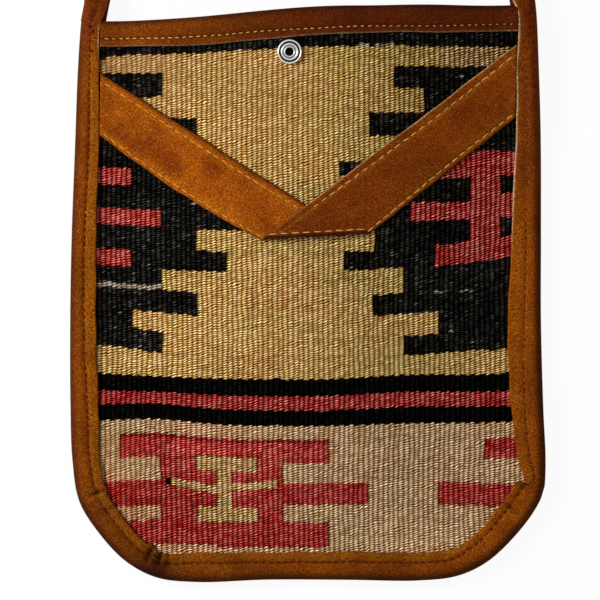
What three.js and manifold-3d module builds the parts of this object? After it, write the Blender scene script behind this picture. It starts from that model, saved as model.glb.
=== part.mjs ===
// Flat crossbody bag: two kilim panels with a cotton lining, bound with folded leather.
// Millimetres, +Z up. The bag lies on its back: +Y points to the mouth, +Z out of the front.
// The origin is the middle of the bag's underside, without the shoulder strap.

import * as THREE from 'three';
import { mergeVertices } from 'three/addons/utils/BufferGeometryUtils.js';
import Module from 'manifold-3d';

const wasm = await Module();
wasm.setup();

// Driving dimensions: outline
const bagWidth = 237.2;        // across the widest part of the bound edges
const bagHeight = 288;         // bottom edge to the highest point of the mouth
const sideTaper = 5;           // how far each side leans in by the mouth
const cornerRise = 62;         // height of a rounded bottom corner
const cornerRun = 60;          // width of a rounded bottom corner
const cornerPull = 31;         // how squarely the corner curve leaves both edges
const mouthDrop = 8;           // how much lower the mouth is at the left
const dropFrom = -95;          // the mouth's slope starts and ends at these X
const dropTo = 25;

// Driving dimensions: layers
const leather = 1.3;
const kilim = 2.2;
const liningCloth = 0.6;
const clearance = 0.3;         // between faces that are sewn together
const ribPitch = 2.6;          // one warp of the weave
const ribDepth = 0.5;

// Driving dimensions: leather trim
const bindingWidth = 14;
const topBindingWidth = 12.5;
const strapWidth = 12.5;
const strapThickness = 4.4;
const strapBevel = 1.3;

// Driving dimensions: the hollow of the bag
const puff = 12;               // how far the front stands off the back in the middle
const puffFullness = 1.25;     // larger is more pointed, smaller is squarer
const puffMargin = 3;          // flat cloth beside the binding
const bottomRise = 120;        // length of the slope up from the bottom seam
const liftRun = 70;            // length of the side seams' thickening below the mouth
const liningLaps = 2;          // folded flanges between the linings at the mouth

// Driving dimensions: V band, drops below the mouth of its edges at the side seams and of its point
const leftArm = { upper: 33.5, lower: 65 };
const rightArm = { upper: 21, lower: 57.5 };
const bandTip = {
  crossing: { x: 0, drop: 99 },        // where the two upper edges meet
  left: { x: -22.5, drop: 117.5 },
  right: { x: 33, drop: 114.5 },
};
const bandLap = 11;            // the left arm runs on this far under the right one
const lapRun = 24;             // the right arm comes down over this length

// Driving dimensions: press stud
const snapX = -9.25;
const snapDrop = 21.9;         // below the mouth's edge
const snapGap = 7.2;           // between the two linings at the closed stud
const snapFlat = 9;            // radius that the stud holds flat
const snapReach = 60;          // radius that the stud draws in
const eyeletDiameter = 12.5;
const eyeletHeight = 1.5;
const ringDepth = 0.7;
const barrelDiameter = 4;
const barrelBore = 2.2;
const studDiameter = 10.5;
const studFlange = 1.2;
const studBall = 5.6;
const studBallHeight = 2.3;
const studNeck = 0.3;
const studBallWaist = 0.8;      // height of the ball's widest place
const socketDiameter = 11.5;
const capDiameter = 12.5;

// Mesh fineness
const weldDistance = 1e-4;
const pathSteps = 72;
const strapSteps = 80;
const mouthSteps = 26;
const roundSteps = 20;
const foldSteps = 4;
const bandRows = 3;
const plainColumns = 30;
const bottomRows = 5;
const topRows = 8;

const kilimPaint = { color: 0x9c7848, roughness: 0.95, metalness: 0 };
const leatherPaint = { color: 0x74390f, roughness: 0.75, metalness: 0 };
const cottonPaint = { color: 0xb7a88c, roughness: 0.9, metalness: 0 };
const nickelPaint = { color: 0xc9c7c2, roughness: 0.25, metalness: 1 };

const { smoothstep, lerp, clamp } = THREE.MathUtils;
const bag = new THREE.Group();

// Outline of the bag
const half = bagWidth / 2;
const bottomY = -bagHeight / 2;
const mouthHigh = bagHeight / 2;
const mouthLow = mouthHigh - mouthDrop;
const cornerTop = bottomY + cornerRise;

const sideHalf = (y) => {
  const climb = clamp((y - cornerTop) / (mouthHigh - cornerTop), 0, 1);
  return half - sideTaper * climb * climb;
};
const innerHalf = (y) => sideHalf(y) - bindingWidth;
const mouthEdge = (x) => lerp(mouthLow, mouthHigh, smoothstep(x, dropFrom, dropTo));
const snapPlace = new THREE.Vector2(snapX, mouthEdge(snapX) - snapDrop);

// Heights of the layers at the bound edge, from the floor up
const backPanelZ = leather + clearance;
const backLiningZ = backPanelZ + kilim + clearance;
const frontLiningZ = backLiningZ + liningCloth + clearance;
const frontPanelZ = frontLiningZ + liningCloth + clearance;
const frontTrimZ = frontPanelZ + kilim + clearance;
const edgeThickness = frontTrimZ + leather;
const lap = leather + clearance;
const topThickness = frontTrimZ + leather - (frontLiningZ - lap);

// The side seams thicken at the mouth, where the top bindings' inner flanges lie between the linings
const mouthLift = liningLaps * lap;
const liftEnd = mouthLow - topBindingWidth;
const lift = (y) => mouthLift * smoothstep(y, liftEnd - liftRun, liftEnd);

// Height of the front above the flat stack: a pillow, drawn in round the press stud
function rise(x, y) {
  const across = Math.abs(x) / (innerHalf(y) - puffMargin);
  const seamY = bottomY + bindingWidth + puffMargin;
  const up = smoothstep(y, seamY, seamY + bottomRise);
  const pillow = across < 1 ? (1 - across * across) ** puffFullness * up : 0;
  const open = lerp(lift(y), puff, pillow);
  const fromSnap = Math.hypot(x - snapPlace.x, y - snapPlace.y);
  return lerp(snapGap - clearance, open, smoothstep(fromSnap, snapFlat, snapReach));
}

function addPart(name, geometry, paint) {
  const mesh = new THREE.Mesh(geometry, new THREE.MeshStandardMaterial(paint));
  mesh.name = name;
  bag.add(mesh);
}

function welded(geometry) {
  const bare = geometry.clone();
  bare.deleteAttribute('normal');
  bare.deleteAttribute('uv');
  return mergeVertices(bare, weldDistance);
}

function solidOf(geometry) {
  const shape = welded(geometry);
  return new wasm.Manifold(new wasm.Mesh({
    numProp: 3,
    vertProperties: new Float32Array(shape.attributes.position.array),
    triVerts: new Uint32Array(shape.index.array),
  }));
}

function geometryOf(solid) {
  const mesh = solid.getMesh();
  const geometry = new THREE.BufferGeometry();
  geometry.setAttribute('position', new THREE.BufferAttribute(mesh.vertProperties, 3));
  geometry.setIndex(new THREE.BufferAttribute(mesh.triVerts, 1));
  geometry.computeVertexNormals();
  return geometry;
}

// Moves every vertex by a rule of its own place
function moved(geometry, rule) {
  const shape = welded(geometry);
  const spots = shape.attributes.position;
  const spot = new THREE.Vector3();
  for (let i = 0; i < spots.count; i++) {
    rule(spot.fromBufferAttribute(spots, i));
    spots.setXYZ(i, spot.x, spot.y, spot.z);
  }
  shape.computeVertexNormals();
  return shape;
}

// Bound edge: down the left side, along the bottom and up the right side
const at = (x, y) => new THREE.Vector3(x, y, 0);
function sideCurve(sign, topY) {
  return new THREE.QuadraticBezierCurve3(
    at(sign * half, cornerTop),
    at(sign * half, (cornerTop + topY) / 2),
    at(sign * sideHalf(topY), topY),
  );
}
function cornerCurve(sign) {
  const inner = half - cornerRun;
  return new THREE.CubicBezierCurve3(
    at(sign * half, cornerTop),
    at(sign * half, cornerTop - cornerPull),
    at(sign * (inner + cornerPull), bottomY),
    at(sign * inner, bottomY),
  );
}
function reversed(curve) {
  const ends = [curve.v0, curve.v1, curve.v2, curve.v3].filter((end) => end !== undefined);
  return new curve.constructor(...ends.reverse());
}
const boundEdge = new THREE.CurvePath();
boundEdge.add(reversed(sideCurve(-1, mouthLow)));
boundEdge.add(cornerCurve(-1));
boundEdge.add(new THREE.LineCurve3(at(cornerRun - half, bottomY), at(half - cornerRun, bottomY)));
boundEdge.add(reversed(cornerCurve(1)));
boundEdge.add(sideCurve(1, mouthHigh));

// Outline of a layer, as a prism tall enough to trim any layer: its edges end where the folds turn round
const trimHeight = edgeThickness + mouthLift + puff;
const sideInset = edgeThickness / 2 + clearance;
const mouthInset = topThickness / 2 + clearance;
function layerPrism() {
  const outline = new THREE.Shape();
  for (let i = 0; i <= pathSteps; i++) {
    const place = boundEdge.getPointAt(i / pathSteps);
    const way = boundEdge.getTangentAt(i / pathSteps);
    const x = place.x - way.y * sideInset;
    const y = Math.min(place.y + way.x * sideInset, mouthEdge(x) - mouthInset);
    if (i === 0) outline.moveTo(x, y);
    else outline.lineTo(x, y);
  }
  for (let i = 1; i < mouthSteps; i++) {
    const x = lerp(sideHalf(mouthHigh) - sideInset, sideInset - sideHalf(mouthLow), i / mouthSteps);
    outline.lineTo(x, mouthEdge(x) - mouthInset);
  }
  return new THREE.ExtrudeGeometry(outline, { depth: trimHeight, bevelEnabled: false });
}
const layerOutline = solidOf(layerPrism());

// Rows of a layer's grid: close where the front bends, wide where it runs straight
function layerRows() {
  const foot = bottomY + bindingWidth;
  const kneeLow = foot + puffMargin + bottomRise;
  const kneeHigh = Math.max(snapPlace.y - snapReach, kneeLow + 1);
  const rows = [bottomY];
  for (let i = 0; i <= bottomRows; i++) rows.push(lerp(foot, kneeLow, i / bottomRows));
  for (let i = 0; i <= topRows; i++) rows.push(lerp(kneeHigh, mouthHigh, i / topRows));
  return rows;
}

// A sheet between two faces; the upper face may have more columns than the lower one
function sheet({ rows, upperColumns, lowerColumns, upper, lower }) {
  const spots = [];
  const faces = [];
  const grid = (columns, height) => {
    const first = spots.length / 3;
    rows.forEach((y) => {
      for (let i = 0; i <= columns; i++) {
        const x = lerp(-half, half, i / columns);
        spots.push(x, y, height(x, y, i));
      }
    });
    return (row, column) => first + row * (columns + 1) + column;
  };
  const quad = (a, b, c, d) => faces.push(a, b, c, a, c, d);
  const up = grid(upperColumns, upper);
  const low = grid(lowerColumns, lower);
  const last = rows.length - 1;
  for (let r = 0; r < last; r++) {
    for (let i = 0; i < upperColumns; i++) quad(up(r, i), up(r, i + 1), up(r + 1, i + 1), up(r + 1, i));
    for (let i = 0; i < lowerColumns; i++) quad(low(r, i), low(r + 1, i), low(r + 1, i + 1), low(r, i + 1));
    quad(low(r, 0), up(r, 0), up(r + 1, 0), low(r + 1, 0));
    quad(low(r, lowerColumns), low(r + 1, lowerColumns), up(r + 1, upperColumns), up(r, upperColumns));
  }
  const share = upperColumns / lowerColumns;
  for (let i = 0; i < lowerColumns; i++) {
    for (let j = i * share; j < (i + 1) * share; j++) {
      faces.push(low(0, i), up(0, j + 1), up(0, j));
      faces.push(low(last, i), up(last, j), up(last, j + 1));
    }
    faces.push(low(0, i), low(0, i + 1), up(0, (i + 1) * share));
    faces.push(low(last, i), up(last, (i + 1) * share), low(last, i + 1));
  }
  const geometry = new THREE.BufferGeometry();
  geometry.setAttribute('position', new THREE.Float32BufferAttribute(spots, 3));
  geometry.setIndex(faces);
  return geometry;
}

// Kilim panels: every second column of the outer face is the valley between two ribs
const ribColumns = 2 * plainColumns * Math.max(1, Math.round(bagWidth / ribPitch / plainColumns));
const rib = (column) => (column % 2 ? 0 : ribDepth);

const barrelFit = barrelDiameter / 2 + clearance;
const barrelHole = solidOf(new THREE.CylinderGeometry(barrelFit, barrelFit, trimHeight, roundSteps)
  .rotateX(Math.PI / 2)
  .translate(snapPlace.x, snapPlace.y, trimHeight / 2));
const layerPart = (geometry) => geometryOf(solidOf(geometry).intersect(layerOutline).subtract(barrelHole));

addPart('front_panel', layerPart(sheet({
  rows: layerRows(),
  upperColumns: ribColumns,
  lowerColumns: plainColumns,
  upper: (x, y, column) => frontPanelZ + kilim - rib(column) + rise(x, y),
  lower: (x, y) => frontPanelZ + rise(x, y),
})), kilimPaint);

const backSheet = sheet({
  rows: [bottomY, mouthHigh],
  upperColumns: ribColumns,
  lowerColumns: plainColumns,
  upper: (x, y, column) => kilim - rib(column),
  lower: () => 0,
}).rotateY(Math.PI).translate(0, 0, backPanelZ + kilim);
addPart('back_panel', layerPart(backSheet), kilimPaint);

// Cotton linings: the front one follows the pillow, the back one lies flat
addPart('front_lining', layerPart(sheet({
  rows: layerRows(),
  upperColumns: plainColumns,
  lowerColumns: plainColumns,
  upper: (x, y) => frontLiningZ + liningCloth + rise(x, y),
  lower: (x, y) => frontLiningZ + rise(x, y),
})), cottonPaint);

const flatLining = new THREE.BoxGeometry(bagWidth, bagHeight, liningCloth)
  .translate(0, 0, backLiningZ + liningCloth / 2);
addPart('back_lining', layerPart(flatLining), cottonPaint);

// Section of a strip folded round an edge: the fold at y = 0, both flanges running to y = width
function foldSection(bottomZ, topZ, width) {
  const outer = (topZ - bottomZ) / 2;
  const inner = outer - leather;
  const middle = (bottomZ + topZ) / 2;
  const arc = (radius, turn) => [outer - radius * Math.cos(turn), middle + radius * Math.sin(turn)];
  const turns = Array.from({ length: foldSteps + 1 }, (_, i) => Math.PI * (i / foldSteps - 0.5));
  return [
    ...turns.map((turn) => arc(outer, turn)),
    [width, topZ], [width, topZ - leather],
    ...turns.reverse().map((turn) => arc(inner, turn)),
    [width, bottomZ + leather], [width, bottomZ],
  ];
}

// Edge binding: carried along the bound edge, its section given as height below and way inwards
const edgeSection = new THREE.Shape(foldSection(0, edgeThickness, bindingWidth)
  .map(([inward, z]) => new THREE.Vector2(-z, inward)));
const edgeStrip = new THREE.ExtrudeGeometry(edgeSection, { steps: pathSteps, extrudePath: boundEdge });
addPart('edge_binding', moved(edgeStrip, (spot) => {
  const frontShare = clamp((spot.z - leather) / (frontTrimZ - leather), 0, 1);
  spot.z += lift(spot.y) * frontShare;
}), leatherPaint);

// Top bindings: folded over the mouth edges, each ending at the edge binding
function topBinding(bottomZ, topZ, heightRule) {
  const section = new THREE.Shape(foldSection(bottomZ, topZ, topBindingWidth)
    .map(([inward, z]) => new THREE.Vector2(-inward, z)));
  const leftEnd = clearance - innerHalf(mouthLow);
  const rightEnd = innerHalf(mouthHigh) - clearance;
  const strip = new THREE.ExtrudeGeometry(section, {
    depth: rightEnd - leftEnd, steps: mouthSteps, bevelEnabled: false,
  });
  strip.applyMatrix4(new THREE.Matrix4().makeBasis(
    new THREE.Vector3(0, 1, 0), new THREE.Vector3(0, 0, 1), new THREE.Vector3(1, 0, 0),
  )).translate(leftEnd, 0, 0);
  return moved(strip, (spot) => {
    spot.y += mouthEdge(spot.x);
    spot.z += heightRule(spot.x, spot.y);
  });
}
addPart('front_top_binding', topBinding(frontLiningZ - lap, frontTrimZ + leather, rise), leatherPaint);
addPart('back_top_binding', topBinding(0, backLiningZ + liningCloth + lap, () => 0), leatherPaint);

// V band: each arm is a flat strip between four corners, laid on the front panel
function bandArm(corners, heightRule) {
  const [outerUpper, tipUpper, tipLower, outerLower] = corners;
  const arm = new THREE.BoxGeometry(1, 1, leather, mouthSteps, bandRows, 1).translate(0.5, 0.5, leather / 2);
  return moved(arm, (spot) => {
    const upper = outerUpper.clone().lerp(tipUpper, spot.x);
    const lower = outerLower.clone().lerp(tipLower, spot.x);
    const place = lower.lerp(upper, spot.y);
    spot.set(place.x, place.y, spot.z + frontTrimZ + rise(place.x, place.y) + heightRule(place.x));
  });
}
const bandSpot = ({ x, drop }) => new THREE.Vector2(x, mouthHigh - drop);
const seamSpot = (sign, drop) => {
  const y = mouthHigh - drop;
  return new THREE.Vector2(sign * (innerHalf(y) - clearance), y);
};
const crossing = bandSpot(bandTip.crossing);
const leftSeam = seamSpot(-1, leftArm.upper);
const leftWay = crossing.clone().sub(leftSeam).normalize();
const leftEnd = crossing.clone().addScaledVector(leftWay, bandLap);
addPart('v_band_left', bandArm(
  [leftSeam, leftEnd, bandSpot(bandTip.left), seamSpot(-1, leftArm.lower)], () => 0,
), leatherPaint);

const lapEnd = leftEnd.x + clearance;
const lapHeight = (x) => lap * (1 - smoothstep(x, lapEnd, lapEnd + lapRun));
const rightSeam = seamSpot(1, rightArm.upper);
const rightWay = crossing.clone().sub(rightSeam).normalize();
const tipReach = crossing.distanceTo(bandSpot(bandTip.left));
const rightEnd = crossing.clone().addScaledVector(rightWay, tipReach);
addPart('v_band_right', bandArm(
  [seamSpot(1, rightArm.lower), bandSpot(bandTip.right), rightEnd, rightSeam], lapHeight,
), leatherPaint);

// Shoulder strap: a loose loop that lies on the floor beyond the mouth and crosses itself once
const strapRoute = [
  [-107.3, 135.2, 6.4], [-105, 147, 5.8], [-100, 170, 3.9], [-90, 192, 2.7], [-72, 215, 2.4],
  [-40, 243, 2.4], [0, 272, 2.4], [42, 302, 2.4], [78, 333, 2.4], [98, 366, 2.4],
  [98, 402, 2.4], [78, 434, 2.4], [42, 454, 2.4], [0, 460, 2.4], [-42, 454, 2.4],
  [-78, 434, 2.4], [-98, 402, 2.4], [-98, 366, 2.4], [-78, 333, 2.8], [-42, 302, 4.6],
  [-14, 282, 7.2], [0, 272, 7.5], [14, 262, 7.2], [40, 243, 4.8], [74, 214, 2.9],
  [93, 192, 3.3], [103, 168, 5], [107.4, 143.2, 6.4],
].map((point) => new THREE.Vector3(...point));
const strapSide = strapThickness / 2;
const strapEdge = strapWidth / 2;
const strapSection = new THREE.Shape([
  [strapSide, strapBevel - strapEdge], [strapSide, strapEdge - strapBevel],
  [strapSide - strapBevel, strapEdge], [strapBevel - strapSide, strapEdge],
  [-strapSide, strapEdge - strapBevel], [-strapSide, strapBevel - strapEdge],
  [strapBevel - strapSide, -strapEdge], [strapSide - strapBevel, -strapEdge],
].map(([z, across]) => new THREE.Vector2(z, across)));
addPart('shoulder_strap', new THREE.ExtrudeGeometry(strapSection, {
  steps: strapSteps, extrudePath: new THREE.CatmullRomCurve3(strapRoute),
}), leatherPaint);

// Press stud: four turned pieces on one axis, closed
function turned(profile) {
  const points = profile.map(([radius, z]) => new THREE.Vector2(radius, z));
  if (points[0].x > 0) points.push(points[0].clone());
  return welded(new THREE.LatheGeometry(points, roundSteps))
    .rotateX(Math.PI / 2)
    .translate(snapPlace.x, snapPlace.y, 0);
}
const snapRise = snapGap - clearance;
const frontFace = frontTrimZ + snapRise;
const studTop = frontLiningZ + snapRise - clearance;
const studSeat = studTop - studFlange;
const ballEnd = studSeat - studBallHeight;
const socketFoot = backLiningZ + liningCloth + clearance;
const socketFloor = ballEnd - clearance;
const socketTop = studSeat - clearance;
const barrel = barrelDiameter / 2;

// Eyelet: a rolled rim, a ring and a lip round the bore, with a barrel down through the layers
const rim = eyeletDiameter / 2;
const bore = barrelBore / 2;
const ringStep = (rim - bore) / 6;
const rimTop = frontFace + eyeletHeight;
const grooveTop = rimTop - ringDepth;
addPart('snap_eyelet', turned([
  [bore, ballEnd + clearance], [barrel, ballEnd + clearance], [barrel, frontFace],
  [rim - ringStep / 2, frontFace], [rim, frontFace + ringDepth / 2], [rim - ringStep / 2, rimTop],
  [rim - ringStep, rimTop], [rim - 1.5 * ringStep, grooveTop], [rim - 2.5 * ringStep, grooveTop],
  [rim - 3 * ringStep, rimTop], [rim - 4 * ringStep, rimTop], [rim - 4.5 * ringStep, grooveTop],
  [bore + ringStep / 2, grooveTop], [bore, grooveTop - ringDepth / 2],
]), nickelPaint);

// Stud: a flange under the front lining and a ball with a neck
const ball = studBall / 2;
addPart('snap_stud', turned([
  [barrelFit, ballEnd], [ball - studNeck, ballEnd], [ball, ballEnd + studBallWaist],
  [ball - studNeck, studSeat], [studDiameter / 2, studSeat], [studDiameter / 2, studTop],
  [barrelFit, studTop],
]), nickelPaint);

// Socket: a cup that takes the ball
const cup = ball + clearance;
const socket = socketDiameter / 2;
addPart('snap_socket', turned([
  [barrelFit, socketFoot], [socket, socketFoot], [socket, socketTop - ringDepth],
  [socket - ringDepth, socketTop], [cup, socketTop], [cup, socketFloor], [barrelFit, socketFloor],
]), nickelPaint);

// Cap: a flat head under the back panel with a post up into the socket
const capHead = backPanelZ - clearance;
const cap = capDiameter / 2;
addPart('snap_cap', turned([
  [0, 0], [cap - capHead / 2, 0], [cap, capHead / 2], [cap, capHead], [barrel, capHead],
  [barrel, socketFloor - clearance], [0, socketFloor - clearance],
]), nickelPaint);

export default bag;
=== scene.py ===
# Kilim crossbody bag, lying on its back and seen from above. The script's own unit is the millimetre.
import bmesh
import bpy
import numpy as np
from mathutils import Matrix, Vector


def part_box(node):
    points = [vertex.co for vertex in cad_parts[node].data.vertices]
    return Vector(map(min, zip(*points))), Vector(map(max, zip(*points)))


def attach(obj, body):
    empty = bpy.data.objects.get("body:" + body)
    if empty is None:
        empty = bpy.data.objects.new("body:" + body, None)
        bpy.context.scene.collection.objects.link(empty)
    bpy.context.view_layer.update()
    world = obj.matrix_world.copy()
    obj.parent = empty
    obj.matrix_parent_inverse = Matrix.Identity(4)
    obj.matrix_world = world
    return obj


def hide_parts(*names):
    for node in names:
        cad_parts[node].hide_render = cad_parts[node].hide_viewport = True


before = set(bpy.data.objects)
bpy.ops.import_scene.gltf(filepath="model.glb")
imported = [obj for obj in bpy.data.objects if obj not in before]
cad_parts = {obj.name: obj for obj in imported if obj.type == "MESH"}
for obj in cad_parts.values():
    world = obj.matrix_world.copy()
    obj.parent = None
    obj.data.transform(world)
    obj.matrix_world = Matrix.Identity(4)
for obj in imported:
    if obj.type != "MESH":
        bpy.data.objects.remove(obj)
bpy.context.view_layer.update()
mm = 0.001
draws = np.random.default_rng(41)
print("frame loaded:", len(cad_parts), "nodes")


# Small tools

anywhere, never = (-1000.0, -999.0), (1000.0, 1001.0)       # spans that everything or nothing is past


def nodeBox(node):                      # lowest and highest corner of a frame node
    low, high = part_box(node)
    return np.array(low) / mm, np.array(high) / mm


def ease(value, start, end):            # 0 before start, 1 past end, a smooth S between; it may run downwards
    share = np.clip((value - start) / (end - start), 0.0, 1.0)
    return share * share * (3.0 - 2.0 * share)


def hill(value, centre, reach):         # bell of height 1
    return np.exp(-((value - centre) / reach) ** 2)


def between(start, end, share):
    return start + (end - start) * share


def mix(colours, other, share):         # colours turned towards another one, by a share for each point
    return between(colours, other, share[..., None])


def patches(rows, x, y):                # sum of soft-edged patches: strength, span across x, span across y
    return sum(strength * ease(x, *spanX) * ease(y, *spanY) for strength, spanX, spanY in rows)


def hills(rows, value):                 # sum of bells: height, middle, reach
    return sum(height * hill(value, centre, reach) for height, centre, reach in rows)


def unit(vectors):
    return vectors / np.linalg.norm(vectors, axis=-1, keepdims=True)


def runLength(points):                  # distance along a line, from its start to each of its points
    return np.r_[0, np.cumsum(np.linalg.norm(np.diff(points, axis=0), axis=1))]


def linear(red, green, blue):           # screen colour, 0 to 255, as scene-linear light
    tone = np.array([red, green, blue]) / 255.0
    return np.where(tone <= 0.04045, tone / 12.92, ((tone + 0.055) / 1.055) ** 2.4)


def slowNoise(x, y, reach):
    # sum of a few sine waves of random heading, each 0.6 to 1.6 times the reach long; about -1 to 1
    waves = 7
    turn = draws.uniform(0, 2 * np.pi, waves)
    pace = 2 * np.pi / (reach * draws.uniform(0.6, 1.6, waves))
    phase = draws.uniform(0, 2 * np.pi, waves)
    along = x[..., None] * np.cos(turn) + y[..., None] * np.sin(turn)
    return np.sin(along * pace + phase).sum(-1) / np.sqrt(2.0 * waves)


def slowWaver(run, strength, reach):    # slow unevenness along a line
    return strength * slowNoise(run, run * 0, reach)


def blotches(rows, x, y):               # uneven brightness about 1: strength and reach of each slow noise
    return 1 + sum(strength * slowNoise(x, y, reach) for strength, reach in rows)


def evenCurve(points, count):
    # centripetal Catmull-Rom curve through the points, sampled at even steps of its length
    given = np.asarray(points, float)
    knots = np.vstack([2 * given[0] - given[1], given, 2 * given[-1] - given[-2]])
    step = np.sqrt(np.linalg.norm(np.diff(knots, axis=0), axis=1))[:, None, None]
    p0, p1, p2, p3 = (knots[i:len(knots) - 3 + i, None, :] for i in range(4))
    d0, d1, d2 = (step[i:len(step) - 2 + i] for i in range(3))
    m1 = ((p1 - p0) / d0 - (p2 - p0) / (d0 + d1) + (p2 - p1) / d1) * d1
    m2 = ((p2 - p1) / d1 - (p3 - p1) / (d1 + d2) + (p3 - p2) / d2) * d1
    perSpan = 32
    t = np.linspace(0, 1, perSpan, endpoint=False)[None, :, None]
    curve = (p1 * (2 * t ** 3 - 3 * t ** 2 + 1) + m1 * (t ** 3 - 2 * t ** 2 + t)
             + p2 * (3 * t ** 2 - 2 * t ** 3) + m2 * (t ** 3 - t ** 2))
    curve = np.vstack([curve.reshape(-1, given.shape[1]), given[-1]])
    run = runLength(curve)
    even = np.linspace(0, run[-1], count)
    return np.stack([np.interp(even, run, axis) for axis in curve.T], -1)


def gridFaces(rows, columns, closed=False):
    # quads between neighbours of a grid numbered row by row; closed joins the last column to the first
    row = np.arange(rows - 1)[:, None] * columns
    column = np.arange(columns if closed else columns - 1)[None, :]
    after = (column + 1) % columns
    corners = [row + column, row + after, row + columns + after, row + columns + column]
    return np.stack(corners, -1).reshape(-1, 4)


def tubeFaces(rows, columns):           # a closed grid with both of its ends capped
    end = np.arange(columns)
    return gridFaces(rows, columns, True).tolist() + [end.tolist(), (end + (rows - 1) * columns).tolist()]


def addAttribute(mesh, name, kind, domain, values):         # a number or a colour for each point or corner
    key = "value" if kind == "FLOAT" else "color"
    mesh.attributes.new(name, kind, domain).data.foreach_set(key, np.ravel(values).astype(np.float32))


def newMesh(name, spots, faces, tint=None, grimeAndShade=None, weaveMap=None, weft=None):
    # a mesh from points in millimetres; tint, grime with painted shade, and weave map belong to points, and
    # weft, which is the wool's colour and the contrast of its beads' painted shade, to faces
    mesh = bpy.data.meshes.new(name)
    mesh.from_pydata((np.reshape(spots, (-1, 3)) * mm).tolist(), [], faces)
    if tint is not None:
        rgba = np.c_[np.reshape(tint, (-1, 3)), np.ones(np.size(tint) // 3)]
        addAttribute(mesh, "tint", "FLOAT_COLOR", "POINT", rgba)
    if grimeAndShade is not None:
        addAttribute(mesh, "grimeAndShade", "FLOAT", "POINT", grimeAndShade)
    if weaveMap is not None:
        corner = np.zeros(len(mesh.loops), np.int32)
        mesh.loops.foreach_get("vertex_index", corner)
        places = weaveMap[corner].ravel().astype(np.float32)
        mesh.uv_layers.new(name="weave").data.foreach_set("uv", places)
    if weft is not None:
        sides = np.zeros(len(mesh.polygons), np.int32)
        mesh.polygons.foreach_get("loop_total", sides)
        addAttribute(mesh, "weft", "FLOAT_COLOR", "CORNER", np.repeat(weft, sides, axis=0))
    return mesh


weldReach = {"points": 0.004, "slivers": 0.001}     # what is merged where a mesh is folded up


def addPiece(mesh, material, node=None, weld=False):
    # closes the mesh, turns its faces outwards and hangs it on the frame
    shape = bmesh.new()
    shape.from_mesh(mesh)
    if weld:
        bmesh.ops.remove_doubles(shape, verts=shape.verts, dist=weldReach["points"] * mm)
        bmesh.ops.dissolve_degenerate(shape, edges=shape.edges, dist=weldReach["slivers"] * mm)
    bmesh.ops.recalc_face_normals(shape, faces=shape.faces)
    shape.to_mesh(mesh)
    shape.free()
    mesh.polygons.foreach_set("use_smooth", np.ones(len(mesh.polygons), bool))
    mesh.materials.append(material)
    piece = bpy.data.objects.new(mesh.name, mesh)
    bpy.context.scene.collection.objects.link(piece)
    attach(piece, "root")
    if node:
        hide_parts(node)
    return piece


# Materials. Each grain below is a noise: its scale, detail and roughness

def newMaterial(name):
    material = bpy.data.materials.new(name)
    material.use_nodes = True
    tree = material.node_tree
    return material, tree, tree.nodes["Principled BSDF"]


def plug(tree, socket, value):          # links a socket or sets a plain value
    if isinstance(value, bpy.types.NodeSocket):
        tree.links.new(value, socket)
    else:
        socket.default_value = value


def addNode(tree, kind, inputs=None, **settings):
    node = tree.nodes.new("ShaderNode" + kind)
    for key, value in settings.items():
        setattr(node, key, value)
    for key, value in (inputs or {}).items():
        plug(tree, node.inputs[key], value)
    return node


def calc(tree, operation, first, second=0.0, third=0.0):
    return addNode(tree, "Math", {0: first, 1: second, 2: third}, operation=operation).outputs[0]


def arch(tree, value):                  # half a sine wave over each whole step
    return calc(tree, "SINE", calc(tree, "MULTIPLY", value, np.pi))


def read(tree, name):                   # outputs of a painted attribute
    return addNode(tree, "Attribute", attribute_name=name).outputs


def readWeave(tree):                    # ribs or threads counted across, beads or threads counted along
    place = addNode(tree, "UVMap", uv_map="weave").outputs[0]
    split = addNode(tree, "SeparateXYZ", {0: place})
    return split.outputs[0], split.outputs[1]


def noise(tree, grain, stretch=(1.0, 1.0, 1.0)):
    scale, detail, roughness = grain
    place = addNode(tree, "TexCoord").outputs["Object"]
    place = addNode(tree, "Mapping", {"Vector": place, "Scale": stretch}).outputs[0]
    settings = {"Vector": place, "Scale": scale, "Detail": detail, "Roughness": roughness}
    return addNode(tree, "TexNoise", settings).outputs["Fac"]


def fit(tree, value, low, high, top=1.0):       # 0..top to low..high
    spans = {"Value": value, "From Max": top, "To Min": low, "To Max": high}
    return addNode(tree, "MapRange", spans).outputs[0]


def times(tree, colour, factor):
    return addNode(tree, "VectorMath", {0: colour, 1: factor}, operation="MULTIPLY").outputs[0]


def finishShader(tree, shader, look, colour, height, roughness=None):
    relief = {"Height": height, "Strength": look["bumpStrength"], "Distance": look["bumpHeight"] * mm}
    plug(tree, shader.inputs["Base Color"], colour)
    plug(tree, shader.inputs["Normal"], addNode(tree, "Bump", relief).outputs[0])
    plug(tree, shader.inputs["Roughness"], look["roughness"] if roughness is None else roughness)
    plug(tree, shader.inputs["Specular IOR Level"], look["specular"])


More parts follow.
